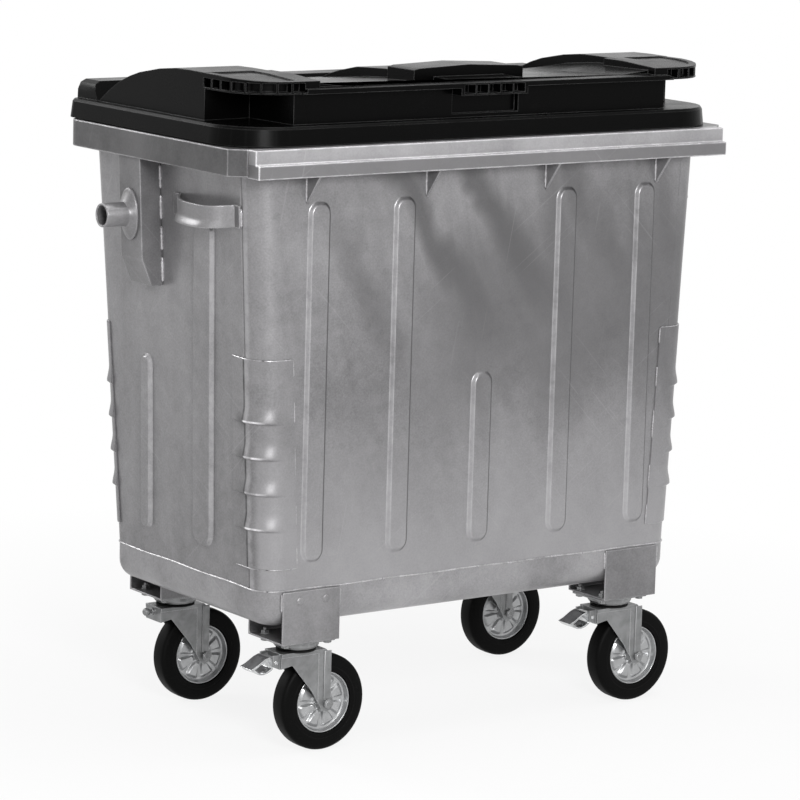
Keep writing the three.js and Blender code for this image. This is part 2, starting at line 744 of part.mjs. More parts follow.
const pivotHole = 4.3;
function castorFork(kind) {
  const legBottom = wheelRadius;
  const leg = [
    [forkFrontX, forkTopZ], [forkFrontX, forkTopZ - 31], [-27, forkTopZ - 26], [22, forkTopZ - 86],
    [castorTrail - 15, legBottom - 6], [castorTrail + 4, legBottom - 10], [castorTrail + 4, forkTopZ - 8],
    [castorTrail - 4, forkTopZ],
  ];
  const whole = prism(leg, 'xz', -forkHalf, forkHalf);
  const boss = rod('y', 17, -forkHalf, forkHalf, [castorTrail, legBottom], 14);
  const innerHalf = forkHalf - forkPlate;
  const gap = box(forkFrontX + forkPlate, far, -innerHalf, innerHalf, 0, forkTopZ - forkPlate);
  const axleHole = rod('y', axleRadius + clearance, -far, far, [castorTrail, legBottom], 12);
  const webEnd = castorTrail - forkBand;
  const web = box(-far, webEnd, forkHalf - forkWebRecess, far, 0, forkTopZ - forkPlate * 2);
  const fork = whole.subtract(web).subtract(web.mirror([0, 1, 0])).add(boss).subtract(gap).subtract(axleHole);
  if (kind === 'pedal') return fork.add(pedalEars());
  return kind === 'lock' ? fork.add(lockGuide()).subtract(lockBore()) : fork;
}

// Two ears on the fork's front that carry the pedal's stub pins
function pedalEars() {
  const earHalf = pedalWidth / 2 + clearance + forkPlate;
  const outline = [
    [forkFrontX + 1, forkTopZ - 2], [pedalPivotX - 8, forkTopZ - 2], [pedalPivotX - 8, pedalPivotZ - 8],
    [forkFrontX + 1, pedalPivotZ - 16],
  ];
  const ears = prism(outline, 'xz', -earHalf, earHalf);
  const between = box(-far, forkFrontX, -earHalf + forkPlate, earHalf - forkPlate, 0, far);
  return ears.subtract(between).subtract(rod('y', pivotHole, -far, far, [pedalPivotX, pedalPivotZ], 12));
}

const lockZ = forkTopZ - 11;
const lockGuide = () => rod('x', 8, forkFrontX - 6, forkFrontX + 1, [0, lockZ], 12);
const lockBore = () => rod('x', pivotHole, forkFrontX - 10, forkFrontX + forkPlate + 1, [0, lockZ], 12);

// The sprung plunger that holds a castor straight: pulled out by its knob
function lockPlunger() {
  const stem = rod('x', 4, forkFrontX - 10, forkFrontX + 12, [0, lockZ], 12);
  const profile = arc(0, 0, lockKnobRadius, -90, 90, 6).map(([r, z]) => new THREE.Vector2(Math.max(r, 0), z));
  const ball = new THREE.LatheGeometry(profile, 12);
  const place = new THREE.Matrix4().makeTranslation(forkFrontX - 8 - lockKnobRadius, 0, lockZ);
  return stem.add(solid(ball, place));
}

// A leaf-shaped pedal pressed from sheet, open right through, with stub pins
function brakePedal() {
  const leaf = (inset) => {
    const shape = new THREE.Shape();
    shape.moveTo(-2 - inset, 12 - inset);
    shape.bezierCurveTo(-26, 16 - inset * 1.6, -34, -2 - inset * 1.2, -pedalReach + inset * 3.4, -9 - inset * 0.3);
    shape.quadraticCurveTo(-pedalReach * 0.55, -34 + inset * 1.8, -5 - inset, -14 + inset);
    return shape;
  };
  const shape = leaf(0);
  shape.holes.push(leaf(pedalSheet));
  const half = pedalWidth / 2;
  const place = new THREE.Matrix4().makeTranslation(pedalPivotX, 0, pedalPivotZ);
  const blade = new THREE.ExtrudeGeometry(shape, { depth: pedalWidth, bevelEnabled: false, curveSegments: 5 });
  const turned = solid(blade, place.multiply(planes.xz(-half)));
  const barrel = rod('y', 6.5, -half, half, [pedalPivotX, pedalPivotZ], 12);
  const stubs = rod('y', pivotHole - clearance, -half - forkPlate, half + forkPlate, [pedalPivotX, pedalPivotZ], 12);
  return turned.add(barrel).add(stubs);
}

// Hex head, bolt and nut across the fork
function axle() {
  const bolt = rod('y', axleRadius, -forkHalf - 8, forkHalf + 8, [0, 0], 8);
  const hex = (from, to) => rod('y', 10, from, to, [0, 0], 6);
  return bolt.add(hex(-forkHalf - 7, -forkHalf - clearance)).add(hex(forkHalf + clearance, forkHalf + 7));
}

// A ring about Y with a flat facet at its foot; profileAt gives spoke k its closed [radius, y] outline
function turnedRing(profileAt) {
  const count = profileAt(0).length;
  const points = [];
  const faces = [];
  for (let k = 0; k < wheelSides; k++) {
    const angle = ((k + 0.5) * 2 * Math.PI) / wheelSides;
    for (const [r, y] of profileAt(k)) points.push(vec(r * Math.sin(angle), y, r * Math.cos(angle)));
    for (let i = 0; i < count; i++) {
      const next = (i + 1) % count;
      const [a, b] = [k * count + i, k * count + next];
      const [c, d] = [((k + 1) % wheelSides) * count + i, ((k + 1) % wheelSides) * count + next];
      faces.push([a, b, d], [a, d, c]);
    }
  }
  return solidFrom(points, faces);
}

const facet = 1 / Math.cos(Math.PI / wheelSides); // corner radius of a facet that touches the floor
const seatRadius = rimRadius + clearance;

function tyre() {
  const edge = tyreHalf;
  const side = [
    [seatRadius, -edge + 3], [seatRadius + 5, -edge], [wheelRadius - 8, -edge + 2], [wheelRadius, -edge + 12],
  ];
  const profile = [...side, ...side.map(([r, y]) => [r, -y]).reverse()];
  return turnedRing(() => profile.map(([r, y]) => [r * facet, y]));
}

// A pressed-steel disc wheel: rolled lips, a hub and two discs back to back with radial ribs pressed in them
function wheelRim() {
  const lip = tyreHalf - 3;
  const hubRadius = 14;
  const hubHalf = forkHalf - forkPlate - 1;
  const bore = axleRadius + clearance * 2;
  return turnedRing((k) => {
    const rib = k % 3 ? 9 : 0;
    const half = [
      [bore, -hubHalf], [hubRadius, -hubHalf], [hubRadius + 4, -9 - rib], [rimRadius - 12, -6 - rib * 0.6],
      [rimRadius - 1, -lip],
    ];
    return [...half, ...half.map(([r, y]) => [r, -y]).reverse()];
  });
}

const head = toGeometry(castorHead());
const forks = Object.fromEntries(['pedal', 'lock', 'plain'].map((kind) => [kind, toGeometry(castorFork(kind))]));
const pedal = toGeometry(brakePedal());
const plunger = toGeometry(lockPlunger());
const axleShape = toGeometry(axle());
const tyreShape = toGeometry(tyre());
const discShape = toGeometry(wheelRim());

for (const [endName, end] of Object.entries(ends)) {
  addPair(`castor_bracket_${endName}`, castorBracket(end), galvanized);
  for (const [sideName, sideSign] of [['left', -1], ['right', 1]]) {
    const name = `${endName}_${sideName}`;
    const place = [sideSign * castorX, end.swivelY, 0];
    const wheelPlace = [sideSign * castorX + castorTrail, end.swivelY, wheelRadius];
    const kind = { front_left: 'pedal', front_right: 'pedal', rear_left: 'lock', rear_right: 'plain' }[name];
    addMesh(`castor_head_${name}`, head, zincPlated(), place);
    addMesh(`castor_fork_${name}`, forks[kind], zincPlated(), place);
    if (kind === 'pedal') addMesh(`brake_pedal_${name}`, pedal, zincPlated(), place);
    if (kind === 'lock') addMesh(`direction_lock_${name}`, plunger, zincPlated(), place);
    addMesh(`castor_axle_${name}`, axleShape, zincPlated(), wheelPlace);
    addMesh(`wheel_rim_${name}`, discShape, zincPlated(), wheelPlace);
    addMesh(`tyre_${name}`, tyreShape, rubber(), wheelPlace);
  }
}

// ---- Lid: one moulding with a skirt, a raised field, three ridges and hand grips ----
function lidSkirtForm(skin) {
  const ring = (inset, z) => {
    const total = inset + skin;
    const plan = roundedPlan(
      lidHalf - total, lidFrontY + total, lidRearY - total, lidCorner - total, Math.max(lidRearCorner - total, 5), 6,
    );
    return planRing(plan, z);
  };
  const bottom = skin ? lidBottomZ - 1 : lidBottomZ;
  return loft([ring(0, bottom), ring(4, ledgeZ - 5 - skin), ring(8, ledgeZ - skin)]);
}

// The raised field's plan, with a notch under each front corner's grip
function domePlan(skin) {
  const right = [
    [notchInnerX - 7 - skin, domeFrontY + skin], [notchInnerX - skin, notchRearY + skin],
    [domeHalf - skin, notchRearY - 8 + skin], [domeHalf - skin, domeRearY - skin],
  ];
  return [...right, ...right.map(([x, y]) => [-x, y]).reverse()];
}

// The outer ridges' rise above the ledge, by the distance from the field's rear
const ridgeLine = [
  [0, 1], [-37, 25], [-78, 47], [-117, 62], [-155, 73], [-231, 87], [-287, 93], [-342, ridgeRise], [-447, ridgeRise - 1],
];
const ridgeProfile = (skin, base) => [
  [domeRearY - skin, base],
  ...ridgeLine.map(([back, rise]) => [domeRearY + Math.min(back, -skin), ledgeZ + rise - skin]),
  [gripFrontY + skin, ridgeTopZ - 7 - skin], [gripFrontY + skin, base],
];

const fieldProfile = (skin, rise, base) => [
  [domeRearY - skin, base], [domeRearY - skin, domeRearZ - skin],
  [domeRearY - 147, domeRearZ + 14 + rise * 0.3 - skin], [domeRearY - 247, domeRearZ + 24 + rise * 0.8 - skin],
  [domeRearY - 347, domeRearZ + 31 + rise - skin], [domeFrontY + skin, domeFrontZ + rise * 0.6 - skin], [domeFrontY + skin, base],
];

// The field climbs to a shoulder beside each outer ridge
function fieldForm(skin, base) {
  const shoulder = ridgeInnerX - 84;
  const stations = [[-ridgeInnerX - 1, 16], [-shoulder, 0], [shoulder, 0], [ridgeInnerX + 1, 16]];
  return loft(stations.map(([x, rise]) => fieldProfile(skin, rise, base).map(([y, z]) => vec(x, y, z))));
}

function domeForm(skin) {
  const base = ledgeZ - 8 - skin;
  const walls = prism(domePlan(skin), 'xy', base, far);
  const ridge = prism(ridgeProfile(skin, base), 'yz', ridgeInnerX + skin, domeHalf);
  const ridgeLeft = prism(ridgeProfile(skin, base), 'yz', -domeHalf, -ridgeInnerX - skin);
  const middle = prism(
    [[-75, 23], [-80, 42 - skin], [-112, 53 - skin], [-147, 62 - skin], [-206, 74 - skin], [-305, 79 - skin],
      [domeFrontY - domeRearY + skin, 77 - skin], [domeFrontY - domeRearY + skin, 23]]
      .map(([back, rise]) => [domeRearY + back, ledgeZ + rise]),
    'yz', -midRidgeHalf + skin, midRidgeHalf - skin,
  );
  const raised = fieldForm(skin, base).add(ridge).add(ridgeLeft).add(middle).add(humpForm(skin));
  return raised.intersect(walls).add(bulkheadForm(skin));
}

// A low crowned block behind the middle grip
function humpForm(skin) {
  const top = domeFrontZ + 4 + humpHeight - skin;
  const half = humpHalf - skin;
  const outline = [
    [-half, domeFrontZ - 20], [half, domeFrontZ - 20], [half, top - 6], [half - 14, top - 3], [0, top + 2],
    [-half + 14, top - 3], [-half, top - 6],
  ];
  return prism(outline, 'xz', humpFrontY + skin, humpFrontY + humpDepth - skin);
}

function bulkheadForm(skin) {
  const base = ledgeZ - 8 - skin;
  const outline = [
    [bulkheadFrontY + skin, base], [bulkheadFrontY + 24 + skin, bulkheadZ - skin],
    [lidRearY - 8 - skin, bulkheadZ - skin], [lidRearY - 5 - skin, base],
  ];
  const half = domeHalf - skin;
  const top = bulkheadZ - skin;
  const ends = [
    [-half, base - 1], [half, base - 1], [half, top - bulkheadRound], [half - bulkheadRound * 0.3, top - bulkheadRound * 0.3],
    [half - bulkheadRound, top + 1], [bulkheadRound - half, top + 1],
    [bulkheadRound * 0.3 - half, top - bulkheadRound * 0.3], [-half, top - bulkheadRound],
  ];
  return prism(outline, 'yz', -half, half).intersect(prism(ends, 'xz', -far, far));
}

// The corner grips' plates reach over the notches as far as the skirt's rounded corner
const gripPlan = (inset) =>
  roundedPlan(domeHalf - inset, gripFrontY + inset, domeRearY, lidCorner - 18 - inset, 20, 6);

function cornerGrips() {
  const profile = [
    [notchRearY + 2, gripUnderZ], [notchRearY + 2, ridgeTopZ - 1], [notchRearY - 58, ridgeTopZ - 1],
    [gripFrontY, ridgeTopZ - 7], [gripFrontY, gripUnderZ],
  ];
  const plate = prism(profile, 'yz', ridgeInnerX - 14, domeHalf).add(prism(profile, 'yz', -domeHalf, 14 - ridgeInnerX));
  return plate.intersect(prism(gripPlan(0), 'xy', gripUnderZ - 1, far));
}

// A shallow panel sunk in the top of each corner grip
function gripPanels() {
  const y0 = gripFrontY + gripPanelInset;
  const floor = [
    [notchRearY - 4, ridgeTopZ - 1 - gripPanelDepth], [notchRearY - 58, ridgeTopZ - 1 - gripPanelDepth],
    [y0, ridgeTopZ - 6 - gripPanelDepth], [y0, far], [notchRearY - 4, far],
  ];
  const inner = ridgeInnerX + 34;
  const right = prism(floor, 'yz', inner, domeHalf).intersect(prism(gripPlan(gripPanelInset), 'xy', 0, far));
  return right.add(reflect(right));
}

// A pocket open outwards between two thin ribs; the angle is that of the edge's outward normal
function gripPocket(x, y, angle) {
  const pocket = new THREE.BoxGeometry(gripCell - gripRib, 44, gripCellHeight);
  const z = gripUnderZ + gripRib + gripCellHeight / 2;
  return solid(pocket, new THREE.Matrix4().makeTranslation(x, y, z).multiply(new THREE.Matrix4().makeRotationZ(angle + Math.PI / 2)));
}

// Pockets along the outer edge of the right corner grip: down the side, round the corner, along the front
function cornerPockets() {
  const radius = lidCorner - 18;
  const centre = [domeHalf - radius, gripFrontY + radius];
  const side = centre[1] - notchRearY;
  const corner = (radius * Math.PI) / 2;
  const whole = -side + corner + (centre[0] - gripEndX);
  const count = Math.floor(whole / gripCell);
  const pockets = [];
  for (let k = 0; k < count; k++) {
    const s = (k + 0.5) * (whole / count);
    if (s < -side) pockets.push(gripPocket(domeHalf, notchRearY - s, 0));
    else if (s < corner - side) {
      const angle = -(s + side) / radius;
      pockets.push(gripPocket(centre[0] + radius * Math.cos(angle), centre[1] + radius * Math.sin(angle), angle));
    } else pockets.push(gripPocket(centre[0] - (s + side - corner), gripFrontY, -Math.PI / 2));
  }
  return pockets;
}

const reflect = (manifold) => manifold.mirror([1, 0, 0]);

function frontLip() {
  const y = domeFrontY - lipDepth;
  const outline = [[domeFrontY + 2, domeFrontZ - lipThick], [y, domeFrontZ - lipThick], [y, domeFrontZ - 1], [domeFrontY + 2, domeFrontZ]];
  const lip = prism(outline, 'yz', -notchInnerX + 8, notchInnerX - 8);
  const middleGrip = box(-middleGripHalf, middleGripHalf, y, domeFrontY + 2, domeFrontZ - middleGripDepth, domeFrontZ - 2);
  return lip.add(middleGrip);
}

// The finger recess in the front wall below the middle grip
function recess(skin) {
  const half = middleGripHalf + skin;
  const top = domeFrontZ - middleGripDepth + skin;
  return box(-half, half, domeFrontY - 1, domeFrontY + recessDepth + skin, ledgeZ + 8 - skin, top);
}

function middlePockets() {
  const count = Math.floor((2 * middleGripHalf) / gripCell);
  const pockets = [];
  for (let k = 0; k < count; k++) {
    const left = (k - count / 2) * gripCell + gripRib / 2;
    const z = domeFrontZ - middleGripDepth + gripRib;
    pockets.push(box(left, left + gripCell - gripRib, domeFrontY - lipDepth - 5, domeFrontY - 6, z, z + gripCellHeight));
  }
  return pockets;
}

function hingeBosses(radius, half, y0) {
  const boss = (x) => {
    const knuckle = rod('x', radius, x - half, x + half, [hingeY, hingeZ], 20);
    const web = box(x - half, x + half, y0, hingeY, hingeZ - radius, hingeZ + radius);
    return knuckle.add(web);
  };
  return boss(-hingeX).add(boss(hingeX));
}

const lugInner = hingeBossHalf + clearance * 2;
const lugOuter = lugInner + lugThick;

// Slots that let the hinge lugs through the skirt and bulkhead while the lid turns
function lugSlots() {
  const slots = [];
  for (const x of [-hingeX, hingeX]) {
    for (const side of [-1, 1]) {
      const [a, b] = [x + side * hingeBossHalf, x + side * (lugOuter + 2)].sort((p, q) => p - q);
      slots.push(box(a, b, hingeY - lugSlot, far, lidBottomZ - 5, far));
    }
  }
  return slots.reduce((all, slot) => all.add(slot));
}

function lid() {
  const outer = lidSkirtForm(0).add(domeForm(0)).add(cornerGrips()).add(frontLip()).subtract(recess(0));
  const inner = lidSkirtForm(lidWall).add(domeForm(lidWall)).subtract(recess(lidWall));
  const corner = cornerPockets();
  const pockets = [...corner, ...corner.map(reflect), ...middlePockets()];
  const bossRoot = lidRearY - 12;
  const pinHole = rod('x', hingePinRadius + clearance, -far, far, [hingeY, hingeZ], 16);
  const pocketed = pockets.reduce((whole, pocket) => whole.subtract(pocket), outer.subtract(inner));
  const panelled = pocketed.subtract(gripPanels());
  return panelled.add(hingeBosses(hingeBossRadius, hingeBossHalf, bossRoot)).subtract(lugSlots()).subtract(pinHole);
}

add('lid', lid(), blackPlastic());

// ---- Hinge brackets: twin lugs on a plate welded to the rear of the rim ----
function hingeBracket() {
  const plateY = rimRearY + clearance;
  const plate = box(hingeX - lugOuter, hingeX + lugOuter, plateY, plateY + lugThick, rimBottomZ + 4, rimTopZ - 4);
  const profile = new THREE.Shape();
  profile.moveTo(plateY, rimBottomZ + 10);
  profile.lineTo(plateY + 14, rimBottomZ + 20);
  profile.lineTo(hingeY + 9, hingeZ - 22);
  profile.lineTo(hingeY + hingeBossRadius - 1, hingeZ);
  profile.absarc(hingeY, hingeZ, hingeBossRadius - 1, 0, Math.PI, false);
  profile.lineTo(hingeY - hingeBossRadius + 1, hingeZ - 22);
  profile.lineTo(plateY, rimTopZ + 1);
  const lugs = prism(profile, 'yz', hingeX - lugOuter, hingeX + lugOuter);
  const between = box(hingeX - lugInner, hingeX + lugInner, plateY + lugThick, far, 0, far);
  const above = box(hingeX - lugInner, hingeX + lugInner, 0, far, rimTopZ - 4, far);
  const hole = rod('x', hingePinRadius + clearance, -far, far, [hingeY, hingeZ], 12);
  return plate.add(lugs).subtract(between).subtract(above).subtract(hole);
}

function hingePin() {
  const reach = lugOuter + 3;
  const shaft = rod('x', hingePinRadius, hingeX - reach, hingeX + reach, [hingeY, hingeZ], 16);
  const cap = rod('x', hingePinRadius + 3, hingeX + lugOuter + clearance, hingeX + reach + 2, [hingeY, hingeZ], 16);
  return shaft.add(cap);
}

addPair('hinge_bracket', hingeBracket(), galvanized);
addPair('hinge_pin', hingePin(), zincPlated);

export default model;
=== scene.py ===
"""Looks of the four-wheeled galvanized waste container: camera, light, materials and fine detail."""

import json
import math
import random

import bmesh
import bpy
from mathutils import Matrix, Vector, noise

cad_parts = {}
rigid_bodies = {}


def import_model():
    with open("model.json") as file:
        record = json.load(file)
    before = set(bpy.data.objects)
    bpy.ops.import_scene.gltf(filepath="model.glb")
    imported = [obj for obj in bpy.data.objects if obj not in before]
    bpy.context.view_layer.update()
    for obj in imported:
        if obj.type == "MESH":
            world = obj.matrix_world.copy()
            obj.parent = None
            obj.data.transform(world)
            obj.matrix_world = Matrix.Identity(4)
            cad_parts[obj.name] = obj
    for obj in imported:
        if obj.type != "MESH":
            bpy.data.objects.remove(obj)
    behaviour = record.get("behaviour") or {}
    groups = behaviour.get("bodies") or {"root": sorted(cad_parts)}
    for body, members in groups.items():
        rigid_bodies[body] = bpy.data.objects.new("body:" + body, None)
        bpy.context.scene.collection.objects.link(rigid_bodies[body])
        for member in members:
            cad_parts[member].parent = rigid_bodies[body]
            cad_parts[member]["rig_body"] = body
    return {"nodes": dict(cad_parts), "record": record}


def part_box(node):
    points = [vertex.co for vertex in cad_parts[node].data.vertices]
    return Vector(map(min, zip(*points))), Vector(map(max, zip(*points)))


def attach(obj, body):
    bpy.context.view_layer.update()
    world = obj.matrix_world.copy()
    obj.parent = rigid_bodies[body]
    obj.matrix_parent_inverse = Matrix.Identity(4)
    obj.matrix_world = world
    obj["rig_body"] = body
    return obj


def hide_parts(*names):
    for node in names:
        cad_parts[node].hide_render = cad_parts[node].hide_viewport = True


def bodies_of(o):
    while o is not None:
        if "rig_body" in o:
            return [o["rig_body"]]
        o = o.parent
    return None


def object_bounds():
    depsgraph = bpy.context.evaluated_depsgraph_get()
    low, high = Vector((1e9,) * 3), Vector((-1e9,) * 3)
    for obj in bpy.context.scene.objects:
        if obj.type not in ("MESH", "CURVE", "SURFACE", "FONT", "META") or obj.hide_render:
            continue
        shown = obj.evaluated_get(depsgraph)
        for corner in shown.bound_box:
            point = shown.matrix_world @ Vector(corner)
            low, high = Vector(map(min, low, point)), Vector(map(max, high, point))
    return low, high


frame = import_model()
cad_low, cad_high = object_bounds()
scene = bpy.context.scene
nodes = frame["nodes"]

# ---- Camera: fitted to the photograph ----
AZIMUTH, ELEVATION, ROLL = (math.radians(a) for a in (-35.8, 10.1, 1.6))
DISTANCE = 7.9685
TARGET = Vector((0.0, -0.023, 0.6533))
LENS = 170.7


def make_camera():
    level = math.cos(ELEVATION)
    back = Vector((math.sin(AZIMUTH) * level, -math.cos(AZIMUTH) * level, math.sin(ELEVATION)))
    flat = Vector((math.cos(AZIMUTH), math.sin(AZIMUTH), 0))
    rise = back.cross(flat)
    right = flat * math.cos(ROLL) + rise * math.sin(ROLL)
    up = back.cross(right)
    data = bpy.data.cameras.new("camera")
    data.lens, data.sensor_width = LENS, 36
    data.clip_start, data.clip_end = 0.1, 200
    camera = bpy.data.objects.new("camera", data)
    camera.matrix_world = Matrix((
        (right.x, up.x, back.x, 0), (right.y, up.y, back.y, 0), (right.z, up.z, back.z, 0), (0, 0, 0, 1)))
    camera.location = TARGET + back * DISTANCE
    scene.collection.objects.link(camera)
    scene.camera = camera


make_camera()
scene.view_settings.view_transform = "Standard"


# ---- Node helper ----
EDGE_REACH = (0.995, 0.86)
SHARP_EDGE_REACH = (0.995, 0.93)


class Nodes:
    """A small builder for a node tree."""

    def __init__(self, tree):
        self.tree = tree

    def link(self, value, socket):
        self.tree.links.new(value, socket)

    def add(self, kind, inputs=None, **settings):
        node = self.tree.nodes.new(kind)
        for key, value in settings.items():
            setattr(node, key, value)
        for key, value in (inputs or {}).items():
            if isinstance(value, bpy.types.NodeSocket):
                self.link(value, node.inputs[key])
            else:
                node.inputs[key].default_value = value
        return node

    def place(self, scale=(1, 1, 1), turn=(0, 0, 0), shift=(0, 0, 0)):
        coords = self.add("ShaderNodeTexCoord")
        inputs = {"Vector": coords.outputs["Object"], "Scale": scale, "Rotation": turn, "Location": shift}
        return self.add("ShaderNodeMapping", inputs).outputs[0]

    def axes(self):
        return self.split(self.place())

    def split(self, vector):
        return self.add("ShaderNodeSeparateXYZ", {0: vector}).outputs

    def noise(self, vector, scale, detail=3.0, rough=0.5, distortion=0.0):
        return self.add("ShaderNodeTexNoise", {
            "Vector": vector, "Scale": scale, "Detail": detail, "Roughness": rough,
            "Distortion": distortion}).outputs["Fac"]

    def span(self, value, low, high, to_low=0.0, to_high=1.0):
        inputs = {"Value": value, "From Min": low, "From Max": high, "To Min": to_low, "To Max": to_high}
        return self.add("ShaderNodeMapRange", inputs).outputs[0]

    def math(self, operation, a, b):
        return self.add("ShaderNodeMath", {0: a, 1: b}, operation=operation).outputs[0]

    def product(self, *values):
        result = values[0]
        for value in values[1:]:
            result = self.math("MULTIPLY", result, value)
        return result

    def magnitude(self, value):
        return self.math("ABSOLUTE", value, 0.0)

    def blend(self, factor, a, b):
        return self.add("ShaderNodeMix", {0: factor, 6: a, 7: b}, data_type="RGBA").outputs[2]

    def slanted(self, turn, stretch, shift=0.0):
        """Coordinates turned first and stretched after, for streaks at a slant."""
        turned = self.place(turn=turn, shift=(shift, shift, 0))
        return self.add("ShaderNodeMapping", {"Vector": turned, "Scale": stretch}).outputs[0]

    def bevel(self, radius):
        return self.add("ShaderNodeBevel", {"Radius": radius}, samples=5).outputs[0]

    def bump(self, height, strength, distance, normal=None):
        inputs = {"Height": height, "Strength": strength, "Distance": distance}
        if normal is not None:
            inputs["Normal"] = normal
        return self.add("ShaderNodeBump", inputs).outputs[0]

    def edges(self, bevel, reach=EDGE_REACH):
        """1 along folded and cut edges, 0 on the flats."""
        plain = self.add("ShaderNodeNewGeometry").outputs["True Normal"]
        agree = self.add("ShaderNodeVectorMath", {0: bevel, 1: plain}, operation="DOT_PRODUCT")
        return self.span(agree.outputs["Value"], *reach)

    def seen(self):
        """1 where a camera, glossy or transmission ray looks, 0 for light that bounces."""
        path = self.add("ShaderNodeLightPath").outputs
        clear = self.math("MAXIMUM", path["Is Glossy Ray"], path["Is Transmission Ray"])
        return self.math("MAXIMUM", path["Is Camera Ray"], clear)


def zinc(value):
    """A neutral zinc grey with a trace of violet."""
    return (value, value * 0.985, value * 1.012, 1)


def new_material(name):
    material = bpy.data.materials.new(name)
    material.use_nodes = True
    tree = material.node_tree
    tree.nodes.clear()
    make = Nodes(tree)
    output = make.add("ShaderNodeOutputMaterial")
    shader = make.add("ShaderNodeBsdfPrincipled")
    make.link(shader.outputs[0], output.inputs["Surface"])
    return material, make, shader


def grey(value, warm=0.0):
    return (value * (1 + warm), value, value * (1 - warm), 1)


def scratches(make, shift):
    """Fine handling scratches in a few slanting directions, in patches."""
    found = None
    for k, (tilt, across) in enumerate(((0.7, 0.5), (-0.5, -0.75), (1.2, 1.1))):
        streak = make.slanted((tilt, across, 0), (2.5, 2.5, 220), shift + 3.7 * k)
        lines = make.span(make.noise(streak, 1.0, 1.0), 0.70, 0.73)
        patch = make.span(make.noise(make.place(shift=(k, shift, 1)), 3.5, 1.0), 0.50, 0.60)
        fine = make.product(lines, patch)
        found = fine if found is None else make.math("MAXIMUM", found, fine)
    return found


SWIRL_SLANT = (0.819, 0.574)
SWIRL_START, SWIRL_PITCH = 0.477, 0.176


def swirl_runs_and_shade(make):
    """Broad slanting dark bands across the upper front wall: partly where the zinc ran, partly painted shade
    and reflection.
    """
    x, y, z = make.axes()
    drift = make.noise(make.place(scale=(1, 1, 0.7)), 4.5, 2.0, 0.5, 0.6)
    across = make.math("ADD", make.product(x, SWIRL_SLANT[0]), make.product(z, SWIRL_SLANT[1]))
    across = make.math("ADD", across, make.span(drift, 0.3, 0.7, -0.035, 0.035))
    turn = make.product(make.math("SUBTRACT", across, SWIRL_START), 2 * math.pi / SWIRL_PITCH)
    band = make.span(make.math("COSINE", turn, 0.0), -0.15, 0.95)
    high = make.product(make.span(z, 0.78, 0.98), make.span(x, -0.42, -0.25))
    right = make.product(make.span(x, 0.42, 0.12, 0.25, 1.0), make.span(y, -0.29, -0.30))
    return make.product(band, make.product(high, right))


# The heights of the guards' pressed lips, the corner seams' place, and how far the beads' flanks turn before
# their painted highlight and shade set in
LIP_PITCH, LIP_COUNT = 0.072, 4
LIP_BASE_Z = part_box("base_tray")[1].z + 0.341 - (LIP_COUNT - 1) * LIP_PITCH
LIP_TOP_Z = LIP_BASE_Z + (LIP_COUNT - 1) * LIP_PITCH
SEAM_Y = -0.2505
FLANK_LIT, FLANK_SHADED = (-0.20, -0.50), (0.12, 0.40)


def front_tone_by_height(make, color, drift, dark, light):
    """Darker across the front's middle and paler at its foot."""
    x, y, z = make.axes()
    on_front = make.span(y, -0.270, -0.282)
    uneven = make.math("ADD", z, make.span(drift, 0.3, 0.7, -0.10, 0.10))
    belly = make.product(make.span(uneven, 0.62, 0.80), make.span(uneven, 1.16, 1.00))
    belly = make.product(belly, make.span(x, -0.30, -0.05), make.product(on_front, 0.62))
    color = make.blend(belly, color, zinc(dark * 0.9))
    foot = make.product(make.span(uneven, 0.70, 0.42), on_front)
    return make.blend(make.product(foot, 0.50), color, zinc(light * 1.25))


def bead_flank_highlight_and_shade(make, color, spots, dark):
    """Painted highlight on the left flanks and painted shade on the right flanks of the front's and the left
    side's beads, by the way each flank faces in the world.
    """
    x, y, _ = make.axes()
    face = make.split(make.add("ShaderNodeNewGeometry").outputs["Normal"])
    ends = make.magnitude(x)
    flat_front = make.span(ends, 0.475, 0.470)
    on_side = make.product(make.span(ends, 0.50, 0.52), make.span(y, -0.246, -0.242))
    flat_side = make.product(on_side, make.span(y, 0.235, 0.225))
    # Painted highlight on flanks turned one way and painted shade on those turned the other, by the
    # surface's direction in the world
    lit = make.product(make.span(face[0], *FLANK_LIT), flat_front)
    lit = make.math("MAXIMUM", lit, make.product(make.span(face[1], *FLANK_LIT), flat_side))
    shaded = make.product(make.span(face[0], *FLANK_SHADED), flat_front)
    shaded = make.math("MAXIMUM", shaded, make.product(make.span(face[1], *FLANK_SHADED), flat_side))
    broken = make.span(spots, 0.35, 0.60, 0.4, 1.0)
    color = make.blend(make.product(lit, make.product(broken, 0.45)), color, zinc(0.48))
    return make.blend(make.product(shaded, 0.75), color, zinc(dark * 0.30))


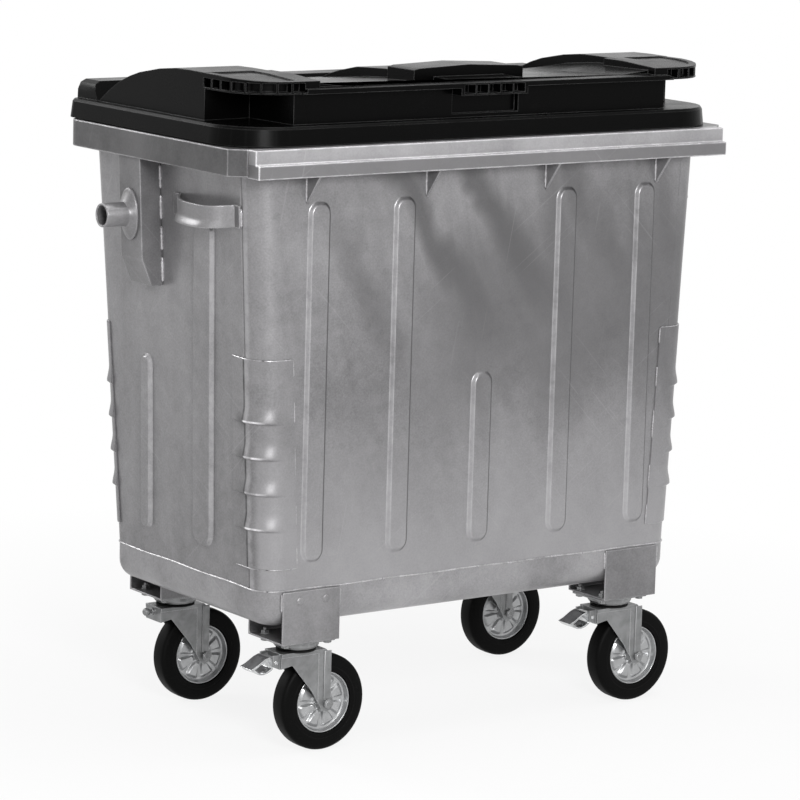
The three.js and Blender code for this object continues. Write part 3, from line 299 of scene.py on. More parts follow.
def corner_highlight_and_shade(make, color, drift, spots):
    """A painted highlight band past each front seam, painted highlights on the guards' lips and painted
    shade beside them.
    """
    x, y, z = make.axes()
    on_end = make.span(make.magnitude(x), 0.5, 0.51)
    # Painted highlight: a bright band just past each front seam
    band = make.product(make.span(y, -0.2530, -0.2550), make.span(y, -0.2680, -0.2620), on_end)
    color = make.blend(make.product(band, make.span(spots, 0.35, 0.6, 0.1, 0.4)), color, zinc(0.50))
    count = make.math("DIVIDE", make.math("SUBTRACT", z, LIP_BASE_Z), LIP_PITCH)
    off_lip = make.magnitude(make.math("SUBTRACT", count, make.math("ROUND", count, 0.0)))
    above = make.span(z, LIP_BASE_Z - 0.03, LIP_BASE_Z - 0.02)
    near = make.product(above, make.span(z, LIP_TOP_Z + 0.03, LIP_TOP_Z + 0.02), on_end)
    front_part = make.product(make.span(y, -0.247, -0.252), make.span(y, -0.30, -0.28))
    # Painted highlights along the guards' lips on the front part
    lip_highlight = make.product(make.span(off_lip, 0.045, 0.020), near, front_part)
    side_part = make.product(make.span(y, -0.262, -0.250), make.span(y, -0.215, -0.240))
    # Painted shade beside the guards' lips on the side part
    lip_shade = make.product(make.span(off_lip, 0.34, 0.02), near, side_part)
    lip_shade = make.product(lip_shade, make.span(drift, 0.35, 0.6, 0.4, 0.9))
    color = make.blend(lip_shade, color, zinc(0.06))
    return make.blend(make.product(lip_highlight, make.span(spots, 0.4, 0.55, 0.2, 1.0)), color, zinc(0.85))


def seam_shade_line(make, color, spots):
    """Painted shade: a dark line in the groove of each front corner."""
    x, y, _ = make.axes()
    past = make.magnitude(make.math("SUBTRACT", y, SEAM_Y))
    seam = make.product(make.span(past, 0.0036, 0.0014), make.span(make.magnitude(x), 0.5, 0.51))
    return make.blend(make.product(seam, make.span(spots, 0.40, 0.60, 0.95, 0.55)), color, zinc(0.035))


# Tone by height, then painted highlights and shade on bead flanks and corners, and painted shade in the
# seams
def wall_tone_and_painted_light(make, color, drift, spots, dark, light):
    color = front_tone_by_height(make, color, drift, dark, light)
    color = bead_flank_highlight_and_shade(make, color, spots, dark)
    color = corner_highlight_and_shade(make, color, drift, spots)
    return seam_shade_line(make, color, spots)


CLOUD_SHARE, RUN_SHARE, MOTTLE_SHARE, GRAIN_SHARE = 0.42, 0.20, 0.13, 0.25
ZINC_METALLIC = 0.45


def galvanized(name, dark, light, shift=0.0, cloud_scale=1.8, edge=0.55, shine=0.34,
               radius=0.003, streaked_and_painted_light=False, painted_shade_below=None, reach=EDGE_REACH):
    """Hot-dip zinc: clouds, slanting runs, sandy grain, faint spangle, bright edges that are partly worn
    zinc and partly painted highlight, and fine scratches.
    """
    material, make, shader = new_material(name)
    base = make.place(shift=(shift, shift, 0))
    clouds = make.noise(base, cloud_scale, 3.0, 0.5, 1.0)
    runs = make.noise(make.slanted((0.1, 0.22, 0), (9, 9, 0.9), shift), 1.0, 3.0, 0.55, 0.5)
    mottle = make.noise(base, 30.0, 5.0, 0.65)
    grain = make.noise(base, 260.0, 3.0, 0.7)
    tone = make.product(clouds, CLOUD_SHARE)
    for part, share in ((runs, RUN_SHARE), (mottle, MOTTLE_SHARE), (grain, GRAIN_SHARE)):
        tone = make.math("ADD", tone, make.product(part, share))
    color = make.blend(make.span(tone, 0.36, 0.64), zinc(dark), zinc(light))
    spangle = make.add("ShaderNodeTexVoronoi", {"Vector": base, "Scale": 55.0})
    fleck = make.add("ShaderNodeSeparateColor", {0: spangle.outputs["Color"]}).outputs[0]
    color = make.blend(make.product(fleck, 0.09), color, zinc(light * 1.3))
    if streaked_and_painted_light:
        # Painted shade and reflection in broad dark bands on the upper front, partly where the zinc ran
        color = make.blend(make.product(swirl_runs_and_shade(make), 0.7), color, zinc(dark * 0.55))
        # The front's tone by height, and painted highlights and shade on the bead flanks, the corners and
        # the seams
        color = wall_tone_and_painted_light(make, color, drift=runs, spots=mottle, dark=dark, light=light)
    if painted_shade_below is not None:
        # Painted shade on the lip below the bar's ledge
        lip = make.span(make.axes()[2], painted_shade_below + 0.0005, painted_shade_below - 0.0005)
        color = make.blend(make.product(lip, 0.75), color, zinc(dark * 0.5))
    color = make.blend(make.product(scratches(make, shift), 0.10), color, zinc(light * 1.6))
    normal = None
    if radius:
        normal = make.bevel(radius)
        # Brighter edges: worn zinc and a painted highlight along every fold and cut
        rim = make.product(make.edges(normal, reach), make.span(mottle, 0.35, 0.6, 0.45, 1.0))
        color = make.blend(rim, color, zinc(edge))
    make.link(color, shader.inputs["Base Color"])
    shader.inputs["Metallic"].default_value = ZINC_METALLIC
    make.link(make.span(clouds, 0.3, 0.7, shine + 0.08, shine - 0.05), shader.inputs["Roughness"])
    height = make.math("ADD", make.product(grain, 0.10), make.product(mottle, 0.5))
    make.link(make.bump(height, 0.22, 0.002, normal), shader.inputs["Normal"])
    return material


PLATE_COOL = 0.012


def plated(name, value, rough=0.3, shift=0.0, contrast=0.15, metallic=0.6, edge=0.6):
    """Zinc plating: fine mottling, bright edges that are partly worn and partly painted highlight."""
    material, make, shader = new_material(name)
    stain = make.noise(make.place(shift=(shift, 0, 0)), 38.0, 4.0, 0.6, 0.4)
    low, high = grey(value * (1 - contrast), -PLATE_COOL), grey(value * (1 + contrast), -PLATE_COOL)
    color = make.blend(make.span(stain, 0.35, 0.65), low, high)
    normal = make.bevel(0.0014)
    # Brighter edges: worn plating and a painted highlight
    color = make.blend(make.edges(normal), color, grey(edge, -PLATE_COOL))
    make.link(color, shader.inputs["Base Color"])
    shader.inputs["Metallic"].default_value = metallic
    make.link(make.span(stain, 0.3, 0.7, rough + 0.08, rough - 0.04), shader.inputs["Roughness"])
    grain = make.noise(make.place(), 240.0, 2.0)
    make.link(make.bump(grain, 0.10, 0.001, normal), shader.inputs["Normal"])
    return material


def moulded(name, value, rough, spec, grain_scale=420.0, grain_strength=0.12, scuffs=0.25, radius=0.002,
             edge=0.02):
    """Moulded plastic or rubber: fine grain, a few dull scuffs, and lighter edges that are partly rubbed and
    partly painted highlight.
    """
    material, make, shader = new_material(name)
    patch = make.noise(make.place(), 6.0, 4.0, 0.6)
    streak = make.noise(make.slanted((0, 0, 0.5), (4, 60, 60)), 1.0, 3.0)
    wear = make.product(make.span(streak, 0.6, 0.75), make.span(patch, 0.45, 0.7))
    color = make.blend(make.product(wear, scuffs), grey(value), grey(value * 3 + 0.02))
    shader.inputs["Specular IOR Level"].default_value = spec
    make.link(make.span(patch, 0.3, 0.7, rough - 0.05, rough + 0.08), shader.inputs["Roughness"])
    grain = make.noise(make.place(), grain_scale, 2.0)
    normal = make.bevel(radius)
    # Lighter rubbed edges: wear and a painted highlight
    rubbed_edge_highlight = make.product(make.edges(normal), make.span(patch, 0.35, 0.6, 0.3, 1.0))
    make.link(make.blend(rubbed_edge_highlight, color, grey(edge)), shader.inputs["Base Color"])
    make.link(make.bump(grain, grain_strength, 0.0008, normal), shader.inputs["Normal"])
    return material


SLOT_MATERIALS = {
    "galvanized_sheet": galvanized("galvanized_sheet", 0.12, 0.30),
    "galvanized_plate": galvanized("galvanized_plate", 0.12, 0.28, shift=4.0),
    "zinc_castor": plated("zinc_castor", 0.23, 0.36),
    "zinc_disc": plated("zinc_disc", 0.40, 0.30, 5.0, contrast=0.1, metallic=0.75, edge=0.6),
    "tyre_rubber": moulded("tyre_rubber", 0.0022, 0.5, 0.06, 300.0, 0.1, 0.06, edge=0.01),
    "lid_plastic": moulded("lid_plastic", 0.0015, 0.25, 0.055, 520.0, 0.14, 0.08, 0.0022, 0.09),
}
# The walls' material paints highlights and shade on the bead flanks, corners and seams
wall_zinc = galvanized("galvanized_wall", 0.13, 0.32, radius=None, streaked_and_painted_light=True)
BAR_LIP_TOP_Z = 1.2085
# The rim's darker copy of the zinc is a painted dark reflection
rim_zinc_dark_reflection = galvanized("galvanized_rim", 0.04, 0.115, shift=2.0, cloud_scale=5.0, radius=0.004,
                      reach=SHARP_EDGE_REACH)
# The bar's lighter copy of the zinc is a painted sheen, with white painted highlights on its edges and
# painted shade on its lip
bar_zinc_sheen = galvanized("galvanized_bar_sheen", 0.27, 0.44, shift=6.0, cloud_scale=3.0, edge=1.0, radius=0.004,
                      painted_shade_below=BAR_LIP_TOP_Z, reach=SHARP_EDGE_REACH)
tray_zinc = galvanized("galvanized_tray", 0.19, 0.38, shift=11.0, cloud_scale=3.0, radius=None)
weld_zinc = galvanized("weld_zinc", 0.20, 0.62, shift=9.0, cloud_scale=40.0, shine=0.3, radius=None)
bright_zinc = plated("bright_zinc", 0.50, 0.16, 9.0, contrast=0.3, metallic=1.0, edge=0.85)
seam_dark = moulded("seam_dark", 0.006, 0.6, 0.1)

slot_of = {s["node"]: s["material_slot"] for s in frame["record"]["subparts"]}
body_of = {node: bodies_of(obj)[0] for node, obj in nodes.items()}
TUB_BODY = body_of["base_tray"]


def material_for(node):
    if node.startswith("rim_"):
        return rim_zinc_dark_reflection
    if node == "comb_bar":
        return bar_zinc_sheen
    if "_wall" in node or node.startswith("corner_guard"):
        return wall_zinc
    if node == "base_tray":
        return tray_zinc
    if node.startswith("brake_pedal"):
        return bright_zinc
    return SLOT_MATERIALS[slot_of[node]]


for name, obj in nodes.items():
    obj.data.materials.clear()
    obj.data.materials.append(material_for(name))


# ---- Mesh helpers ----
def add_object(name, bm, material, body, smooth):
    mesh = bpy.data.meshes.new(name)
    bmesh.ops.recalc_face_normals(bm, faces=bm.faces)
    bm.to_mesh(mesh)
    bm.free()
    obj = bpy.data.objects.new(name, mesh)
    scene.collection.objects.link(obj)
    mesh.materials.append(material)
    bpy.context.view_layer.objects.active = obj
    for other in bpy.context.selected_objects:
        other.select_set(False)
    obj.select_set(True)
    bpy.ops.object.shade_smooth_by_angle(angle=math.radians(smooth))
    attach(obj, body)
    return obj


def stand_in(node, bm, smooth=35.0):
    """A finer mesh that is shown in place of a solid."""
    obj = add_object(node + "_fine", bm, material_for(node), body_of[node], smooth)
    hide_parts(node)
    return obj


BEVEL_SEGMENTS, BEVEL_ANGLE = 2, 28.0


def softened(node, width):
    """A copy of a solid with its edges rounded as folded or moulded edges are."""
    bm = bmesh.new()
    bm.from_mesh(nodes[node].data)
    bmesh.ops.remove_doubles(bm, verts=bm.verts, dist=1e-5)
    bmesh.ops.dissolve_limit(bm, angle_limit=math.radians(0.6), verts=bm.verts, edges=bm.edges)
    obj = stand_in(node, bm)
    bevel = obj.modifiers.new("edge", "BEVEL")
    bevel.width, bevel.segments, bevel.limit_method = width, BEVEL_SEGMENTS, "ANGLE"
    bevel.angle_limit = math.radians(BEVEL_ANGLE)
    weighted = obj.modifiers.new("normals", "WEIGHTED_NORMAL")
    weighted.keep_sharp = True
    return obj


def circle(centre, axis, radius, count, start=0.0):
    """Points round an axis."""
    side = axis.orthogonal().normalized()
    other = axis.cross(side)
    turns = [start + 2 * math.pi * i / count for i in range(count)]
    return [centre + (side * math.cos(a) + other * math.sin(a)) * radius for a in turns]


def skin_loops(bm, loops, capped=True):
    """Joins closed loops of vertices one after another, and closes both ends."""
    for a, b in zip(loops, loops[1:]):
        for i in range(len(a)):
            j = (i + 1) % len(a)
            bm.faces.new((a[i], a[j], b[j], b[i]))
    if capped:
        bm.faces.new(loops[0])
        bm.faces.new(loops[-1])


def sheet_mesh(outer, inner, ring=False):
    """A closed sheet between two grids of points; a ring joins its last column to its first."""
    bm = bmesh.new()
    skins = [[[bm.verts.new(p) for p in row] for row in grid] for grid in (outer, inner)]
    rows, columns = len(outer), len(outer[0])
    spans = range(columns if ring else columns - 1)
    for skin in skins:
        for i in range(rows - 1):
            for j in spans:
                k = (j + 1) % columns
                bm.faces.new((skin[i][j], skin[i][k], skin[i + 1][k], skin[i + 1][j]))
    a, b = skins
    for i in (0, rows - 1):
        for j in spans:
            k = (j + 1) % columns
            bm.faces.new((a[i][j], a[i][k], b[i][k], b[i][j]))
    if not ring:
        for j in (0, columns - 1):
            for i in range(rows - 1):
                bm.faces.new((a[i][j], a[i + 1][j], b[i + 1][j], b[i][j]))
    return bm


def lathe(bm, profile, centre, axis, sides=32):
    """A solid of revolution; the profile starts and ends on the axis."""
    rings = []
    for r, t in profile:
        spots = [centre + axis * t] if r < 1e-6 else circle(centre + axis * t, axis, r, sides)
        rings.append([bm.verts.new(spot) for spot in spots])
    for a, b in zip(rings, rings[1:]):
        for i in range(sides):
            j = (i + 1) % sides
            corners = [a[i % len(a)], a[j % len(a)], b[j % len(b)], b[i % len(b)]]
            unique = list(dict.fromkeys(corners))
            if len(unique) > 2:
                bm.faces.new(unique)


def arc(cx, cy, radius, start, end, steps):
    turns = [math.radians(start + (end - start) * k / steps) for k in range(steps + 1)]
    return [(cx + radius * math.cos(a), cy + radius * math.sin(a)) for a in turns]


WELD_SIDES, WELD_WANDER = 7, 0.0008


def weld_bead(bm, path, radius, step, seed, closed=False):
    """A rippled bead of weld along a path, half sunk in what it lies on."""
    rng = random.Random(seed)
    points = []
    count = len(path)
    for k in range(count if closed else count - 1):
        a, b = path[k], path[(k + 1) % count]
        n = max(1, int((b - a).length / step))
        points += [a.lerp(b, i / n) for i in range(n)]
    if not closed:
        points.append(path[-1])
    rings = []
    total = len(points)
    for k, p in enumerate(points):
        before = points[(k - 1) % total] if closed or k else points[0]
        after = points[(k + 1) % total] if closed or k < total - 1 else points[-1]
        along = (after - before).normalized()
        swell = radius * (0.78 + 0.22 * (k % 2) + rng.uniform(-0.15, 0.25))
        drift = math.sin(k * 0.11 + seed) * WELD_WANDER + rng.uniform(-0.3, 0.3) * WELD_WANDER
        if not closed and k in (0, total - 1):
            swell *= 0.35
        spots = circle(p + Vector((0, 0, drift)), along, swell, WELD_SIDES)
        rings.append([bm.verts.new(spot) for spot in spots])
    skin_loops(bm, rings + rings[:1] if closed else rings, capped=not closed)


# ---- Sizes taken from the frame and shared by the fine meshes ----
tray_low, tray_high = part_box("base_tray")
WELD_Z, TUB_TOP_Z, TRAY_Z = tray_high.z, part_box("front_wall")[1].z, tray_low.z
HALF_LOW, FRONT_Y, REAR_LOW = tray_high.x, tray_low.y, tray_high.y
HALF_TOP, REAR_TOP = 0.563, 0.309
FRONT_CORNER, REAR_CORNER = 0.055, 0.032
SHEET, GAP = 0.002, 0.0003
SIDE_SIGN = {"left": -1, "right": 1}
WALL_FOOT = WELD_Z + GAP


def up_the_wall(z):
    return (z - WELD_Z) / (TUB_TOP_Z - WELD_Z)


def mix(a, b, t):
    return a + (b - a) * t


def tub_half(z):
    return mix(HALF_LOW, HALF_TOP, up_the_wall(z))


def tub_rear(z):
    return mix(REAR_LOW, REAR_TOP, up_the_wall(z))


def smooth(value):
    t = min(1.0, max(0.0, value))
    return t * t * (3 - 2 * t)


# ---- Pressed walls ----
BEAD_HEIGHT, BEAD_SLOPE, BEAD_LEAN = 0.008, 0.0080, -0.045
BEAD_LOW, BEAD_TOP, SHORT_BEAD_TOP, SIDE_BEAD_TOP, NARROW_BEAD_TOP = 0.052, 0.777, 0.409, 0.734, 0.422
TALL_BEADS = [(x, BEAD_LOW, BEAD_TOP, 0.026) for x in (-0.41, -0.204, 0.204, 0.41)]
FRONT_BEADS = TALL_BEADS + [(0.0, BEAD_LOW, SHORT_BEAD_TOP, 0.026)]
SIDE_BEADS = [(-0.085, BEAD_LOW, SIDE_BEAD_TOP, 0.036), (0.13, BEAD_LOW, NARROW_BEAD_TOP, 0.020)]
WAVE = 0.0011


def bead_rise(along, rise, beads, lean=0.0):
    """How far a wall stands out at a point: the beads are round-ended and softly shouldered."""
    most = 0.0
    for centre, low, top, half in beads:
        across = along - centre - lean * (rise - low)
        past = max(low + half - rise, rise - (top - half), 0.0)
        inside = half - math.hypot(across, past)
        most = max(most, smooth((inside + 0.001) / BEAD_SLOPE))
    return most * BEAD_HEIGHT


def wave(along, rise, seed):
    """Sheet that was pulled a little by its welds and by the hot zinc: inwards only."""
    broad = noise.noise(Vector((along * 5.5, rise * 4.0, seed)))
    close = noise.noise(Vector((along * 16, rise * 12, seed + 9)))
    return -WAVE * (0.5 + 0.5 * broad) * (0.75 + 0.5 * close)


SEAM_DEPTH, SEAM_HALF = 0.0040, 0.0045


def corner_seam(past):
    """The pressed groove where a side's flat part meets its front corner."""
    return -SEAM_DEPTH * smooth(1 - abs(past) / SEAM_HALF)


def steps(marks, fine, coarse):
    """Places along a line: fine steps inside each marked stretch, coarse ones between them."""
    places = []
    for (start, end), dense in marks:
        count = max(1, math.ceil((end - start) / (fine if dense else coarse)))
        places += [start + (end - start) * k / count for k in range(count)]
    places.append(marks[-1][0][1])
    return places


def marked(edges, dense_spans):
    """Splits edges[0]..edges[1] into stretches, dense where a span covers them."""
    start, end = edges
    spans = sorted((max(a, start), min(b, end)) for a, b in dense_spans if b > start and a < end)
    found, at = [], start
    for a, b in spans:
        if a > at:
            found.append(((at, a), False))
            at = a
        if b > at:
            found.append(((at, b), True))
            at = b
    if end > at:
        found.append(((at, end), False))
    return found


def bead_ends(beads):
    """The heights where beads begin and end, as dense spans of z."""
    spans = []
    for _, low, top, half in beads:
        spans += [(WELD_Z + low - 0.004, WELD_Z + low + half)]
        spans += [(WELD_Z + top - half, WELD_Z + top + 0.004)]
    return spans


def bead_flanks(beads):
    """The stretches along the wall where beads slope."""
    spans = []
    for centre, _, _, half in beads:
        spans += [(centre - half - 0.003, centre - half + 0.015)]
        spans += [(centre + half - 0.015, centre + half + 0.003)]
    return spans


def wall(node, columns, rows, place, beads, lean, seed, groove=None):
    """place(column, z) gives a point on the outer face, its outward direction, and its place in the wall."""
    outer, inner = [], []
    for z in rows:
        skins = ([], [])
        for column in columns:
            point, out, along, rise, flat = place(column, z)
            lift = bead_rise(along, rise, beads, lean) * flat + (groove(column) if groove else 0.0)
            fade = smooth((z - WALL_FOOT) / 0.03) * smooth((TUB_TOP_Z - z) / 0.05)
            lift += wave(along, rise, seed) * fade * (0.35 + 0.65 * flat)
            skins[0].append(point + out * lift)
            skins[1].append(point + out * (lift - SHEET))
        outer.append(skins[0])
        inner.append(skins[1])
    return stand_in(node, sheet_mesh(outer, inner), 40)


def flat_wall(node, half_at, face_at, sign, beads, seed):
    """The front (sign -1) or rear (sign 1) wall: fixed columns, and a last one on each leaning edge."""
    rows = steps(marked((WALL_FOOT, TUB_TOP_Z), bead_ends(beads)), 0.0025, 0.014)
    edge = half_at(WALL_FOOT) - 0.004
    columns = steps(marked((-edge, edge), bead_flanks(beads)), 0.0016, 0.014)
    columns = ["low"] + columns + ["high"]
    tilt = math.atan2(face_at(TUB_TOP_Z) - face_at(WELD_Z), TUB_TOP_Z - WELD_Z)
    out = Vector((0, sign * math.cos(tilt), -math.sin(tilt)))

    def place(column, z):
        x = {"low": -half_at(z), "high": half_at(z)}.get(column, column)
        return Vector((x, face_at(z), z)), out, x, (z - WELD_Z) / math.cos(tilt), 1.0

    return wall(node, columns, rows, place, beads, 0.0, seed)


FLAT_REAR_Y = 0.225
SEAM_TURNS = (-7.5, -6, -4.5, -3, -1.5)


def side_wall(side):
    """A side with its rounded corners; a column is (kind, value)."""
    sign = SIDE_SIGN[side]
    rows = steps(marked((WALL_FOOT, TUB_TOP_Z), bead_ends(SIDE_BEADS)), 0.0025, 0.014)
    start = FRONT_Y + FRONT_CORNER
    seam = [(start, start + SEAM_HALF * 2)]
    flats = steps(marked((start, FLAT_REAR_Y), bead_flanks(SIDE_BEADS) + seam), 0.0012, 0.014)
    columns = [("front", a) for a in [*range(-90, -8, 9), *SEAM_TURNS]]
    columns += [("flat", y) for y in flats] + [("rear", a) for a in range(0, 91, 9)]
    tilt = math.atan2(HALF_TOP - HALF_LOW, TUB_TOP_Z - WELD_Z)
    face = Vector((sign * math.cos(tilt), 0, -math.sin(tilt)))

    def place(column, z):
        kind, value = column
        half, rear = tub_half(z), tub_rear(z)
        rise = (z - WELD_Z) / math.cos(tilt)
        if kind == "flat":
            taper = smooth((value + 0.25) / 0.09) * smooth((FLAT_REAR_Y - value) / 0.06)
            y = value + BEAD_LEAN * (rise - BEAD_LOW) * taper
            return Vector((sign * half, y, z)), face, y, rise, 1.0
        radius, middle = REAR_CORNER, rear - REAR_CORNER
        if kind == "front":
            radius, middle = FRONT_CORNER, start
        turn = math.radians(value)
        out = Vector((sign * math.cos(turn), math.sin(turn), 0))
        point = Vector((sign * (half - radius), middle, z)) + out * radius
        return point, out, point.y, rise, 0.0

    def groove(column):
        kind, value = column
        past = {"front": math.radians(value) * FRONT_CORNER, "flat": value - start, "rear": 1.0}[kind]
        return corner_seam(past - 0.001)

    return wall("side_wall_" + side, columns, rows, place, SIDE_BEADS, BEAD_LEAN, 5.0 + sign, groove)


flat_wall("front_wall", lambda z: tub_half(z) - FRONT_CORNER, lambda z: FRONT_Y, -1, FRONT_BEADS, 1.0)
flat_wall("rear_wall", lambda z: tub_half(z) - REAR_CORNER, tub_rear, 1, TALL_BEADS, 3.0)
for side in ("left", "right"):
    side_wall(side)


# ---- Base tray: a dish with a rolled lower edge and a hole for the drain plug ----
TRAY_ROUND, TRAY_THICK, DRAIN_RADIUS = 0.042, 0.0025, 0.026
CORNER_STEPS, EDGE_STEPS = 12, 10


def plan(inset, z):
    """The tub's outline at its foot, anticlockwise, moved in by inset."""
    half, front, rear = HALF_LOW - inset, FRONT_Y + inset, REAR_LOW - inset
    corners = [
        (half, front, -90, FRONT_CORNER), (half, rear, 0, REAR_CORNER),
        (-half, rear, 90, REAR_CORNER), (-half, front, 180, FRONT_CORNER)]
    ring = []
    for x, y, start, radius in corners:
        r = max(radius - inset, 0.006)
        cx, cy = x - math.copysign(r, x), y - math.copysign(r, y)
        ring += [Vector((a, b, z)) for a, b in arc(cx, cy, r, start, start + 90, CORNER_STEPS)]
    full = []
    for k, point in enumerate(ring):
        after = ring[(k + 1) % len(ring)]
        long_run = (after - point).length > 0.1
        count = EDGE_STEPS if long_run else 1
        full += [point.lerp(after, i / count) for i in range(count)]
    return full


def tray_rings(skin):
    """Outlines from the weld down, round the rolled edge and in to the drain hole."""
    radius = TRAY_ROUND - skin
    rings = [plan(skin, WELD_Z - k * 0.007) for k in range(5)]
    for k in range(9):
        turn = math.radians(90 * k / 8)
        drop = TRAY_Z + skin + radius * (1 - math.sin(turn))
        rings.append(plan(skin + radius * (1 - math.cos(turn)), drop))
    hole = []
    for point in rings[-1]:
        out = Vector((point.x, point.y, 0)).normalized()
        hole.append(Vector((out.x * DRAIN_RADIUS, out.y * DRAIN_RADIUS, TRAY_Z + skin)))
    return rings + [hole]


stand_in("base_tray", sheet_mesh(tray_rings(0.0), tray_rings(TRAY_THICK), ring=True), 40)

# ---- Corner guards with their pressed ribs ----
GUARD_LOW, GUARD_TOP = WELD_Z + 0.045, WELD_Z + 0.465
GUARD_THICK, RIB_HEIGHT, RIB_STEP, RIB_SWELL = 0.0025, 0.006, 0.006, 0.034
RIB_LINES = [WELD_Z + 0.341 - k * LIP_PITCH for k in range(LIP_COUNT)]
GUARD_FRONT_LEG, GUARD_SIDE_LEG = 0.022, 0.043
GUARD_FADE = {"front": (0.4, 1, 1, 1, 0.6, 0, 0), "rear": (0.6, 1, 1, 0.4, 0)}


def rib_rise(z):
    """A sharp ledge below, a slow swell above."""
    most = 0.0
    for line in RIB_LINES:
        if line - RIB_STEP < z <= line:
            most = max(most, smooth((z - line + RIB_STEP) / RIB_STEP))
        elif line < z < line + RIB_SWELL:
            most = max(most, 1 - smooth((z - line) / RIB_SWELL) ** 0.8)
    return most


def guard_path(end):
    """(kind, value, fade) from the side leg round the corner to the front leg."""
    fades = GUARD_FADE[end]
    path = []
    if end == "front":
        for k in range(6):
            path.append(("side", GUARD_SIDE_LEG * (1 - k / 6), mix(fades[0], fades[1], k / 6)))
        fades = fades[1:]
    for k in range(17):
        spot = k / 4
        low = min(int(spot), 3)
        path.append(("arc", 90 * k / 16, mix(fades[low], fades[low + 1], spot - low)))
    path += [("leg", GUARD_FRONT_LEG * k / 4, 0.0) for k in range(1, 5)]
    return path


def guard_point(end, side, z, kind, value, off):
    """A point over the tub's corner, off its surface."""
    radius = FRONT_CORNER if end == "front" else REAR_CORNER
    middle = tub_half(z) - radius
    if kind == "side":
        x, v = middle + radius + off, -value
    elif kind == "arc":
        turn = math.radians(value)
        x, v = middle + (radius + off) * math.cos(turn), (radius + off) * math.sin(turn)
    else:
        x, v = middle - value, radius + off
    y = FRONT_Y + radius - v if end == "front" else tub_rear(z) - radius + v
    return Vector((SIDE_SIGN[side] * x, y, z))


def corner_guard(end, side):
    dense = [(line - RIB_STEP - 0.001, line + 0.006) for line in reversed(RIB_LINES)]
    rows = steps(marked((GUARD_LOW, GUARD_TOP), dense), 0.0011, 0.004)
    skins = ([], [])
    for z in rows:
        for skin, thick in zip(skins, (GAP + GUARD_THICK, GAP)):
            row = []
            for kind, value, fade in guard_path(end):
                off = thick + (RIB_HEIGHT * rib_rise(z) * fade if thick > GAP else 0.0)
                row.append(guard_point(end, side, z, kind, value, off))
            skin.append(row)
    return stand_in(f"corner_guard_{end}_{side}", sheet_mesh(*skins), 32)


CORNERS = [(end, side) for end in ("front", "rear") for side in ("left", "right")]
for end, side in CORNERS:
    corner_guard(end, side)

# ---- Folded, forged and moulded pieces with rounded edges ----
EDGE_WIDTHS = {
    "rim_": 0.0012, "comb_bar": 0.0012, "comb_gusset": 0.0008, "trunnion_bracket": 0.0015,
    "castor_bracket": 0.0013, "castor_head": 0.0010, "castor_fork": 0.0010,
    "brake_pedal": 0.0007, "direction_lock": 0.0006, "castor_axle": 0.0006, "hinge_bracket": 0.0010,
    "hinge_pin": 0.0006, "drain_plug": 0.0010, "lid": 0.0016}
for node in nodes:
    for start, width in EDGE_WIDTHS.items():
        if node.startswith(start):
            softened(node, width)
            break

# ---- Side handles: a strap bent on soft curves, its lower edge flared along the grip ----
HANDLE_FOOT_Y, HANDLE_LENGTH, HANDLE_Z, HANDLE_HALF = -0.010, 0.240, 1.097, 0.022
HANDLE_REACH, HANDLE_THICK, HANDLE_FLARE, HANDLE_FLANGE = 0.054, 0.005, 0.008, 0.017
HANDLE_FOOT = GAP + HANDLE_THICK / 2
# Share of the length, distance from the wall, share of the flare
HANDLE_KEYS = (
    (0.0, HANDLE_FOOT, 0.0), (0.075, HANDLE_FOOT, 0.1), (0.105, HANDLE_FOOT + 0.003, 0.5),
    (0.24, 0.030, 1), (0.40, 0.047, 1), (0.60, HANDLE_REACH, 1), (0.78, 0.0515, 0.9),
    (0.86, 0.036, 0.3), (0.915, HANDLE_FOOT + 0.002, 0), (0.94, HANDLE_FOOT, 0), (1.0, HANDLE_FOOT, 0))


def curve_through(points, per_span):
    """A smooth line through points, straight at both ends."""
    line = []
    for k in range(len(points) - 1):
        before, a, b, after = (points[min(max(i, 0), len(points) - 1)] for i in (k - 1, k, k + 1, k + 2))
        for i in range(per_span):
            t = i / per_span
            bend = (2 * a, b - before, 2 * before - 5 * a + 4 * b - after, 3 * a - before - 3 * b + after)
            line.append(0.5 * (bend[0] + bend[1] * t + bend[2] * t * t + bend[3] * t ** 3))
    line.append(points[-1])
    return line


def side_handle(side):
    sign = SIDE_SIGN[side]
    tilt = math.atan2(HALF_TOP - HALF_LOW, TUB_TOP_Z - WELD_Z)
    up = Vector((sign * math.sin(tilt), 0, math.cos(tilt)))
    out = Vector((sign * math.cos(tilt), 0, -math.sin(tilt)))
    origin = Vector((sign * tub_half(HANDLE_Z), 0, HANDLE_Z))
    keys = [Vector((HANDLE_FOOT_Y - HANDLE_LENGTH * t, n, flare)) for t, n, flare in HANDLE_KEYS]
    line = curve_through(keys, 6)
    heights = [-HANDLE_HALF + 2 * HANDLE_HALF * k / 12 for k in range(13)]
    skins = ([], [])
    for skin, offset in zip(skins, (HANDLE_THICK / 2, -HANDLE_THICK / 2)):
        for v in heights:
            row = []
            for k, point in enumerate(line):
                ahead = line[min(k + 1, len(line) - 1)] - line[max(k - 1, 0)]
                normal = Vector((-ahead.y, ahead.x)).normalized() * -1
                flange = smooth((-v - HANDLE_HALF + HANDLE_FLANGE) / HANDLE_FLANGE)
                flare = HANDLE_FLARE * point.z * flange
                y = point.x + normal.x * offset
                n = max(point.y + normal.y * (offset + flare), GAP)
                row.append(origin + Vector((0, y, 0)) + up * v + out * n)
            skin.append(row)
    return stand_in("side_handle_" + side, sheet_mesh(*skins), 40)


